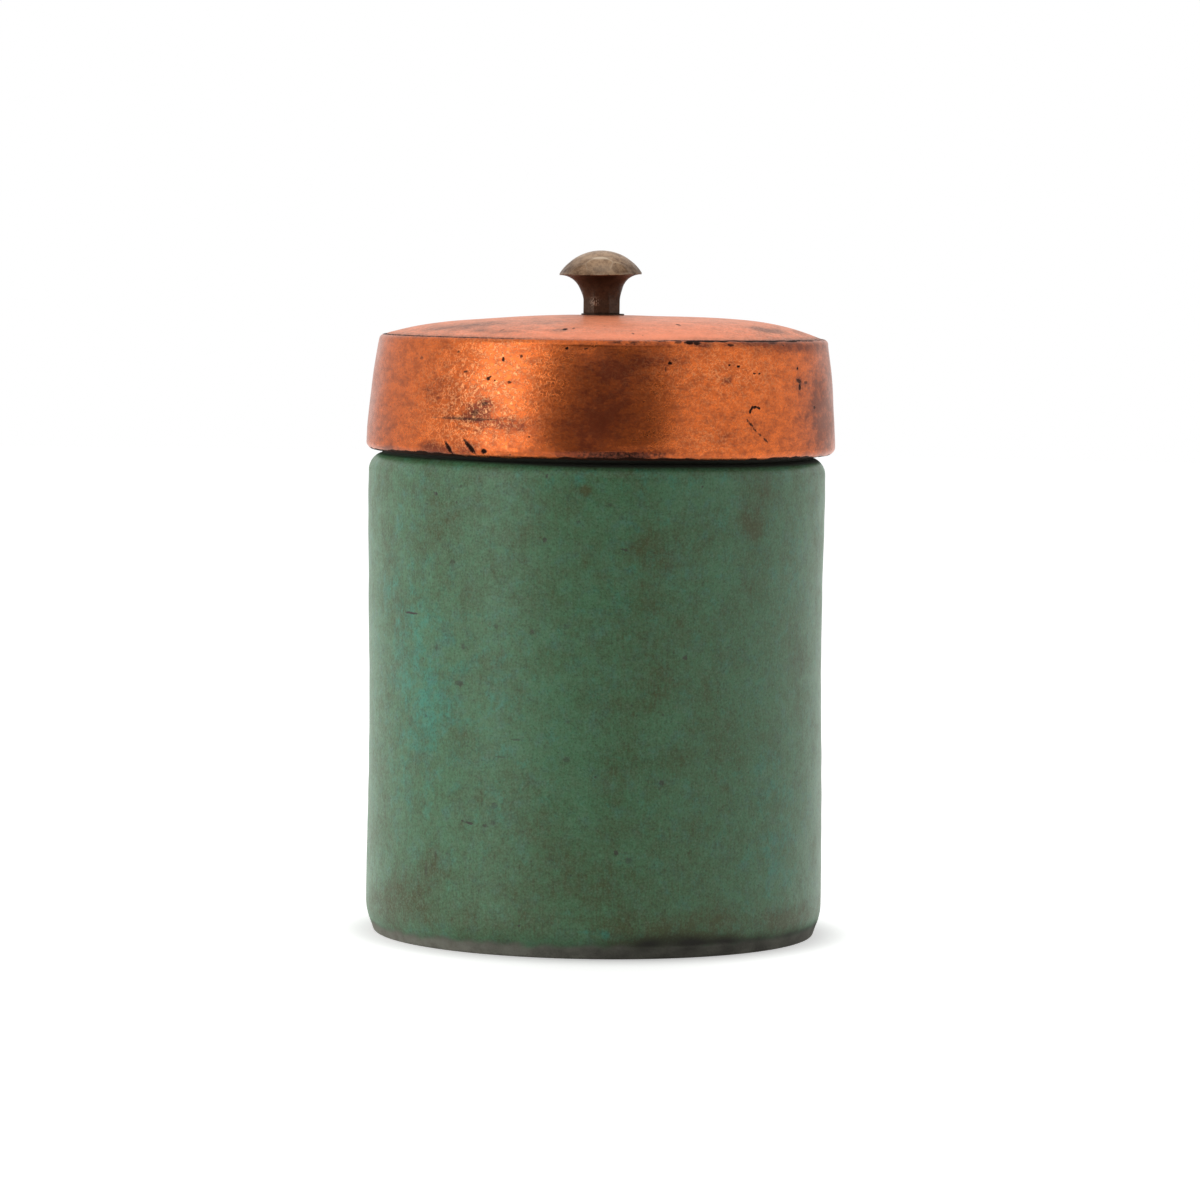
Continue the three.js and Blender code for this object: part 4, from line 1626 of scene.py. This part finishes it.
@dataclass
class Knob:
    """The bronze knob, its washer, and the washer and nut that hold its tail under the crown.

    Attributes:
        cap_lift: how far the cap tilts up to the right, in degrees.
        cap_aside: how far the cap lies towards -X.
        washer_aside: how far the washer lies towards +X.
        polish_and_glint_radius: where the cap's painted glints and rubbed places lie, to turn their bearings
            to mm.
        stem_scratch: where the file has slipped on the stem.
        front_flats: the deeper flats, which the photograph shows.
    """

    box: NodeBox = field(default_factory=lambda: NodeBox.of("knob"))
    washer_box: NodeBox = field(default_factory=lambda: NodeBox.of("knob_washer"))
    backing_box: NodeBox = field(default_factory=lambda: NodeBox.of("backing_washer"))
    nut_box: NodeBox = field(default_factory=lambda: NodeBox.of("knob_nut"))
    bronze: FiledBronze = FiledBronze()
    brass: TurnedBrass = TurnedBrass()
    cap_radius: float = 9.85
    cap_height: float = 5.8
    cap_edge: float = 0.4
    cap_lift: float = 1.35
    cap_aside: float = 0.33
    cap_drop: float = 0.02
    washer_aside: float = 0.3
    stem_radius: float = 4.7
    stem_height: float = 2.9
    stem_flats: int = 8
    flare_height: float = 6.4
    flare_power: float = 1.2
    tail_radius: float = 2.5
    hole_radius: float = 2.7
    nut_across: float = 8.0
    nut_bore: float = 2.56
    polish_and_glint_radius: float = 7.9
    columns: int = 300

    stem_scratch = Spot(-24, 151.3, 1.1, 1.3)
    front_flats = (
        Flat(-1.0, 38.0, 0.75), Flat(22.0, 29.0, 0.75), Flat(-27.0, 30.0, 0.5), Flat(52.0, 36.0, 0.2),
    )

    @property
    def dome_round(self) -> float:
        """Radius of the sphere that the cap's dome is part of."""
        height = self.cap_height - self.cap_edge
        return (self.cap_radius**2 + height**2) / (2.0 * height)

    def profile(self) -> np.ndarray:
        """The knob's outline, from the end of its tail to the top of its cap.

        The flare's radius goes from the stem's to the cap's as (1 - cos a) to the power 1.2, and
        its height as sin a. The cap is part of a sphere that springs from a short upright edge.

        Returns:
            The outline's points.
        """
        seat, small = self.washer_box.top, 0.12
        stem_top = seat + self.stem_height
        under = stem_top + self.flare_height
        a = np.linspace(0.0, 0.5 * np.pi, 44)[:, None]
        flare = np.hstack((
            self.stem_radius + (self.cap_radius - self.stem_radius) * (1.0 - np.cos(a)) ** self.flare_power,
            stem_top + self.flare_height * np.sin(a),
        ))
        centre = self.box.top - self.dome_round
        start = math.degrees(math.acos(self.cap_radius / self.dome_round))
        tail_end = self.box.base
        tail = self.tail_radius
        shank = bent(
            (0.0, tail_end, 0.8),
            (tail - small, tail_end, small),
            (tail, tail_end + small, 0.8),
            (tail, seat, 0.7),
            (self.stem_radius, seat, 0.25),
            flare[0],
        )
        return outline(
            shank,
            flare,
            straight(flare[-1], (self.cap_radius, under + self.cap_edge), 0.13),
            arc((0.0, centre), self.dome_round, start, 90.0, 0.16)[1:],
        )

    def flats(self) -> list[Flat]:
        """The cap's flats: two rings of faint ones, each a little off, and the deeper ones in front.

        The rings leave out the front, where the deeper ones lie.

        Returns:
            The flats.
        """
        draw = np.random.default_rng(61)
        pitch = 36.0
        rings = ((38.0, 0.0), (51.0, pitch / 2.0))
        found = []
        for tilt, first in rings:
            for i in range(2, 9):
                aside, lift = draw.uniform(-4.0, 4.0), draw.uniform(-1.5, 1.5)
                found.append(Flat(first + i * pitch + aside, tilt + lift, draw.uniform(0.02, 0.1)))
        return found + list(self.front_flats)

    def shave_cap(self, knob: Turned) -> np.ndarray:
        """Cuts the flats: a point that stands past a flat's plane moves back on to it.

        Args:
            knob: the knob's grid, which is changed.

        Returns:
            How near each point lies to an edge between two faces, from 0 to 1. A point lies on the
            face that is nearest to it, and near an edge where the second nearest is close as well.
            The gap to a face, over the slope at which it leaves its neighbour, is how far its edge is.
        """
        usual_slope, edge_reach, faintest = 0.3, 0.2, 0.15
        centre = np.array((0.0, 0.0, self.box.top - self.dome_round))
        cap = (knob.height >= self.box.top - self.cap_height)[..., None]
        flats = self.flats()
        facings = []
        for flat in flats:
            facing = direction(flat.bearing, flat.tilt)
            past = (knob.points - centre) @ facing - (self.dome_round - flat.depth)
            knob.points = knob.points - cap * np.maximum(past, 0.0)[..., None] * facing
            facings.append(facing)
        away = [(self.dome_round - np.linalg.norm(knob.points - centre, axis=-1)) / usual_slope]
        for flat, facing in zip(flats, facings):
            if flat.depth > faintest:
                gap = self.dome_round - flat.depth - (knob.points - centre) @ facing
                away.append(gap / math.sqrt(2.0 * flat.depth / self.dome_round))
        second = np.sort(np.abs(np.stack(away)), axis=0)[1]
        return bell(0.0, edge_reach, second) * cap[..., 0]

    def file_stem(self, knob: Turned) -> None:
        """Draws the round stem in to a prism, whose flats fade out in the flare.

        A round's radius times cos(side / 2) / cos(turn from the nearest flat) is a prism's.

        Args:
            knob: the knob's grid, which is changed.
        """
        side = 2.0 * np.pi / self.stem_flats
        prism = np.cos(side / 2.0) / np.cos(from_nearest(np.radians(knob.bearing - 90.0), side))
        stem_top = self.washer_box.top + self.stem_height
        fade = rise(0.0, self.flare_height / 2.0, knob.height - stem_top)
        on_stem = (knob.height >= self.washer_box.top - 0.01) & (knob.radius > self.tail_radius + 0.01)
        scale = np.where(on_stem, prism + (1.0 - prism) * fade, 1.0)
        knob.points[..., :2] *= scale[..., None]

    def build_knob(self) -> None:
        """Builds the knob, files its stem and cap, lifts the cap's right side and dresses it."""
        columns = front_dense_bearings(self.columns, gather=0.3)
        knob = Turned(self.profile(), columns, Closing.POLES, self.stem_radius)
        self.file_stem(knob)
        edges = self.shave_cap(knob)
        stem_top = self.washer_box.top + self.stem_height
        share = rise(stem_top, stem_top + self.flare_height, knob.height)
        slope = math.tan(math.radians(self.cap_lift))
        knob.points[..., 2] += share * (slope * knob.points[..., 0] - self.cap_drop)
        knob.points[..., 0] -= self.cap_aside * share
        rim_height = stem_top + self.flare_height
        rim = bell(self.cap_edge, 0.25, knob.height - rim_height) * (knob.radius > 9.0)
        handled = rise(-0.8, 1.0, knob.waves(around=12, along=0.2, seed=62))
        stem = 1.0 - rise(0.0, self.flare_height, knob.height - stem_top)
        # The cap's top is painted lighter and its sides darker, as light from above falls; below the rim, a
        # dark patina that deepens up under the cap as painted shade.
        lit_top = rise(rim_height + 1.2, self.box.top - 0.8, knob.height)
        sides = rise(12.0, 60.0, np.abs(knob.bearing))
        grime = np.where(knob.height < rim_height, 0.97 - 0.14 * stem, (0.24 + 0.24 * sides) * (1.0 - lit_top))
        scratched = knob.cover((self.stem_scratch,))
        scratched = scratched * rise(0.2, 1.4, knob.waves(around=80, along=1.6, seed=64))
        # Along the flats' edges the pale is rubbed wear, made stronger high on the front as a painted
        # highlight; the two spots in front are painted glints.
        front = rise(60.0, 10.0, np.abs(knob.bearing))
        high = rise(rim_height + 0.6, rim_height + 3.0, knob.height)
        rubbed_and_lit_ridges = edges * (0.1 + 0.5 * front * high) * (0.4 + 0.6 * handled)
        polish_and_glints = (Spot(3, rim_height + 1.8, 3.4, 1.2, 0.25), Spot(-3, 162.1, 3.0, 0.26, 0.6))
        polished_and_glinting = knob.cover(polish_and_glints, self.polish_and_glint_radius)
        masks = {
            Mask.WORN: np.clip(rubbed_and_lit_ridges + 0.25 * rim * handled + 0.2 * lit_top + polished_and_glinting + scratched, 0.0, 1.0),
            Mask.GRIME: grime,
        }
        skin = self.bronze.material()
        place_piece(knob.piece("filed_knob", masks), "lid", "knob", skin)
        self.build_washer(skin)

    def ring_profile(self, box: NodeBox, small: float) -> np.ndarray:
        """The outline of a flat ring with softened edges.

        Args:
            box: the room of the ring.
            small: the rounding of its outer edges.

        Returns:
            The outline's points.
        """
        low, high, inner, outer = box.base, box.top, self.hole_radius, box.radius
        return outline(
            straight((inner, low), (outer - small, low), 0.8),
            arc((outer - small, low + small), small, -90.0, 0.0, 0.08),
            arc((outer - small, high - small), small, 0.0, 90.0, 0.08),
            straight((outer - small, high), (inner, high), 0.8),
            straight((inner, high), (inner, low), 0.3)[1:-1],
        )

    def build_washer(self, skin: bpy.types.Material) -> None:
        """Builds the thin washer under the stem, with the slightly uneven edge of a cut disc.

        Args:
            skin: its material.
        """
        ring = Turned(self.ring_profile(self.washer_box, 0.12), front_dense_bearings(120), Closing.RING)
        uneven = 1.0 - 0.012 * rise(-1.0, 1.0, ring.waves(around=9, along=0.0, seed=63))
        ring.points[..., :2] *= uneven[..., None]
        ring.points[..., 0] += self.washer_aside
        masks = {Mask.WORN: 0.0 * ring.height, Mask.GRIME: np.full_like(ring.height, 0.9)}
        place_piece(ring.piece("stem_washer", masks), "lid", "knob_washer", skin)

    def build_fastening(self) -> None:
        """Builds the backing washer and the nut, whose corners are turned off at both ends.

        The nut's flats lie at half its width over cos(turn from the nearest flat), and its end
        corners are held to a circle a little wider than the flats.
        """
        skin = self.brass.material()
        ring = self.ring_profile(self.backing_box, 0.2)
        backing = Turned(ring, front_dense_bearings(144), Closing.RING)
        place_piece(backing.piece("backing_plate", {}), "lid", "backing_washer", skin)
        low, high, bore, half = self.nut_box.base, self.nut_box.top, self.nut_bore, self.nut_across / 2.0
        corner = half / math.cos(math.radians(30.0))
        turned_off = half * 1.02
        chamfer = 0.45
        profile = bent(
            (bore, low, 0.7),
            (turned_off, low, 0.2),
            (corner, low + chamfer, 0.6),
            (corner, high - chamfer, 0.2),
            (turned_off, high, 0.7),
            (bore, high, 0.6),
            (bore, low),
        )
        nut = Turned(profile[:-1], front_dense_bearings(240), Closing.RING)
        limit = half / np.cos(from_nearest(np.radians(nut.bearing), np.pi / 3.0))
        scale = np.minimum(1.0, limit / nut.radius)
        nut.points[..., :2] *= scale[..., None]
        place_piece(nut.piece("hexagon_nut", {}), "lid", "knob_nut", skin)

    def build(self) -> None:
        """Builds the knob and everything that holds it."""
        self.build_knob()
        self.build_fastening()


@dataclass(frozen=True)
class Softbox:
    """One studio lamp behind a diffuser.

    Attributes:
        name: what it is for.
        bearing: the direction that it shines from.
        elevation: its height as an angle, in degrees.
        distance: how far it stands from the object, in metres.
        width: its width in metres.
        height: its height in metres.
        level: the brightness of its face, where 1 is white.
        mirrored: whether it shows in what is glossy.
    """

    name: str
    bearing: float
    elevation: float
    distance: float
    width: float
    height: float
    level: float
    mirrored: bool = True


@dataclass
class Studio:
    """The floor, the lamps, the dark card in front, the white surroundings and the camera.

    Attributes:
        ambient: how bright the surroundings are as light.
        floor_reach: the floor's radius in metres.
        shade_reach: the width of the wide shade over its length from front to back.
        wide_shade: where the floor's wide shade starts and ends, and how bright its middle is.
        foot_shade: the same for the shade close round the foot.
        card_bearings: the dark card's left and right edge.
    """

    ambient: float = 0.12
    floor_reach: float = 3.0
    shade_reach: float = 0.53
    wide_shade: tuple[float, float, float] = (0.024, 0.068, 0.64)
    foot_shade: tuple[float, float, float] = (0.05, 0.067, 0.54)
    floor_colour: str = "#ececea"
    card_colour: str = "#151311"
    card_bearings: tuple[float, float] = (-29.5, 32.0)
    card_distance: float = 1.55
    card_height: float = 0.62
    aim: tuple[float, float, float] = (0.603, 0.0, 79.956)
    camera_distance: float = 1.2717
    camera_elevation: float = 3.787
    camera_roll: float = 0.797
    focal_px: float = 5286.5
    sensor: float = 36.0

    softboxes = (
        Softbox("left key", -50.0, 16.0, 0.95, 0.48, 0.75, 1.52),
        Softbox("left side", -98.0, 12.0, 1.0, 1.2, 1.2, 1.0, mirrored=False),
        Softbox("right side", 98.0, 12.0, 1.0, 1.2, 1.2, 0.7, mirrored=False),
    )

    def shown(self, nodes: ShaderNodes) -> Socket:
        """1 for what the camera sees, also in a reflection or through glass, and 0 for light.

        Args:
            nodes: the nodes that use it.

        Returns:
            1 or 0.
        """
        rays = [nodes.add("LightPath", out=number) for number in (0, 3, 6)]
        seen = nodes.maths("MAXIMUM", rays[0], rays[1])
        return nodes.maths("MAXIMUM", seen, rays[2])

    def build_floor(self) -> None:
        """Builds the pale floor: a disc that is plain white but for a shade round the object's foot."""
        reach = self.floor_reach / MM
        rows = straight((0.0, 0.0), (reach, 0.0), reach / 12.0)
        disc = Turned(
            np.vstack((rows, [[reach, -2.0], [0.0, -2.0]])), front_dense_bearings(96), Closing.POLES
        )
        disc.points = disc.points[::-1]
        disc.profile = disc.profile[::-1]
        floor = disc.piece("studio_floor", {})
        material, nodes = ShaderNodes.of_material("matt white painted board")
        place = nodes.add("TexCoord", out=3)
        drawn = nodes.add("VectorMath", {0: place, 1: (1.0, self.shade_reach, 1.0)}, operation="MULTIPLY")
        far = nodes.add("VectorMath", {0: drawn}, out=1, operation="LENGTH")
        near = nodes.add("VectorMath", {0: place}, out=1, operation="LENGTH")
        wide_shade = nodes.ramp(far, *self.wide_shade, soft=True)
        foot_shade = nodes.ramp(near, *self.foot_shade, soft=True)
        glow = nodes.product(nodes.product(wide_shade, foot_shade), self.shown(nodes))
        board = nodes.add("BsdfDiffuse", {"Color": self.floor_colour})
        lit = nodes.add("Emission", {"Color": WHITE, "Strength": glow})
        nodes.finish(nodes.add("AddShader", {0: board, 1: lit}))
        floor.data.materials.append(material)

    def build_card(self) -> None:
        """Builds the dark card round the camera: a stretch of an upright cylinder, one sheet thick.

        The camera looks through it, so that it only darkens what the front reflects.
        """
        first, last = self.card_bearings
        turn = np.radians(np.linspace(first, last, 25))[None, :]
        height = np.linspace(-0.002, self.card_height, 9)[:, None]
        x, y = self.card_distance * np.sin(turn), -self.card_distance * np.cos(turn)
        points = np.stack((x + 0.0 * height, y + 0.0 * height, height + 0.0 * turn), axis=-1)
        numbers = np.arange(points.shape[0] * points.shape[1]).reshape(points.shape[:2])
        left, right = numbers[:, :-1], numbers[:, 1:]
        faces = np.stack((left[:-1], left[1:], right[1:], right[:-1]), axis=-1)
        mesh = bpy.data.meshes.new("dark_card")
        mesh.from_pydata(points.reshape(-1, 3).tolist(), [], faces.reshape(-1, 4).tolist())
        card = stand("dark_card", mesh)
        material, nodes = ShaderNodes.of_material("black felt card")
        nodes.finish(nodes.add("BsdfDiffuse", {"Color": self.card_colour}))
        mesh.materials.append(material)
        card.visible_camera = False

    def build_lamps(self) -> None:
        """Hangs each softbox and turns its face to the object's middle.

        A face of brightness level and area A sends out π level A.
        """
        middle = Vector((0.0, 0.0, self.aim[2] * MM))
        for box in self.softboxes:
            outward = Vector(direction(box.bearing, box.elevation))
            lamp = bpy.data.lights.new(box.name, "AREA")
            lamp.shape = "RECTANGLE"
            lamp.size, lamp.size_y = box.width, box.height
            lamp.energy = math.pi * box.level * box.width * box.height
            hung = stand(box.name, lamp)
            hung.location = middle + outward * box.distance
            hung.rotation_euler = outward.to_track_quat("Z", "Y").to_euler()
            hung.visible_camera = False
            hung.visible_glossy = box.mirrored

    def build_world(self) -> None:
        """Makes the surroundings white to the eye and softer as light."""
        world = bpy.data.worlds.new("white studio")
        world.use_nodes = True
        world.node_tree.nodes.clear()
        nodes = ShaderNodes(world.node_tree)
        strength = nodes.ramp(self.shown(nodes), 0.0, 1.0, self.ambient)
        ground = nodes.add("Background", {"Color": WHITE, "Strength": strength})
        output = world.node_tree.nodes.new("ShaderNodeOutputWorld")
        world.node_tree.links.new(ground, output.inputs["Surface"])
        bpy.context.scene.world = world

    def build_camera(self) -> None:
        """Places the camera: back from its aim along its own line of sight, with a slight roll."""
        rise_angle, roll = math.radians(self.camera_elevation), math.radians(self.camera_roll)
        back = Vector(direction(0.0, self.camera_elevation))
        level, upright = Vector((1.0, 0.0, 0.0)), Vector((0.0, math.sin(rise_angle), math.cos(rise_angle)))
        right = math.cos(roll) * level + math.sin(roll) * upright
        up = math.cos(roll) * upright - math.sin(roll) * level
        lens = bpy.data.cameras.new("camera")
        lens.sensor_width = self.sensor
        lens.lens = self.focal_px * self.sensor / PHOTO_WIDTH_PX
        lens.clip_end = 20.0
        camera = stand("camera", lens)
        place = Matrix((right, up, back)).transposed().to_4x4()
        place.translation = Vector(self.aim) * MM + back * self.camera_distance
        camera.matrix_world = place
        bpy.context.scene.camera = camera

    def build(self) -> None:
        """Sets up the whole studio."""
        self.build_floor()
        self.build_card()
        self.build_lamps()
        self.build_world()
        self.build_camera()
        bpy.context.scene.view_settings.view_transform = "Standard"


def corners(bounds: tuple[Vector, Vector]) -> list[list[float]]:
    """A box's lowest and highest corner as plain lists of numbers."""
    return [list(corner) for corner in bounds]


def main() -> None:
    logging.basicConfig(level=logging.INFO, format="%(name)s: %(message)s")
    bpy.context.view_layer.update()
    Studio().build()
    Jar().build()
    CopperLid().build()
    Knob().build()


if __name__ == "__main__":
    main()
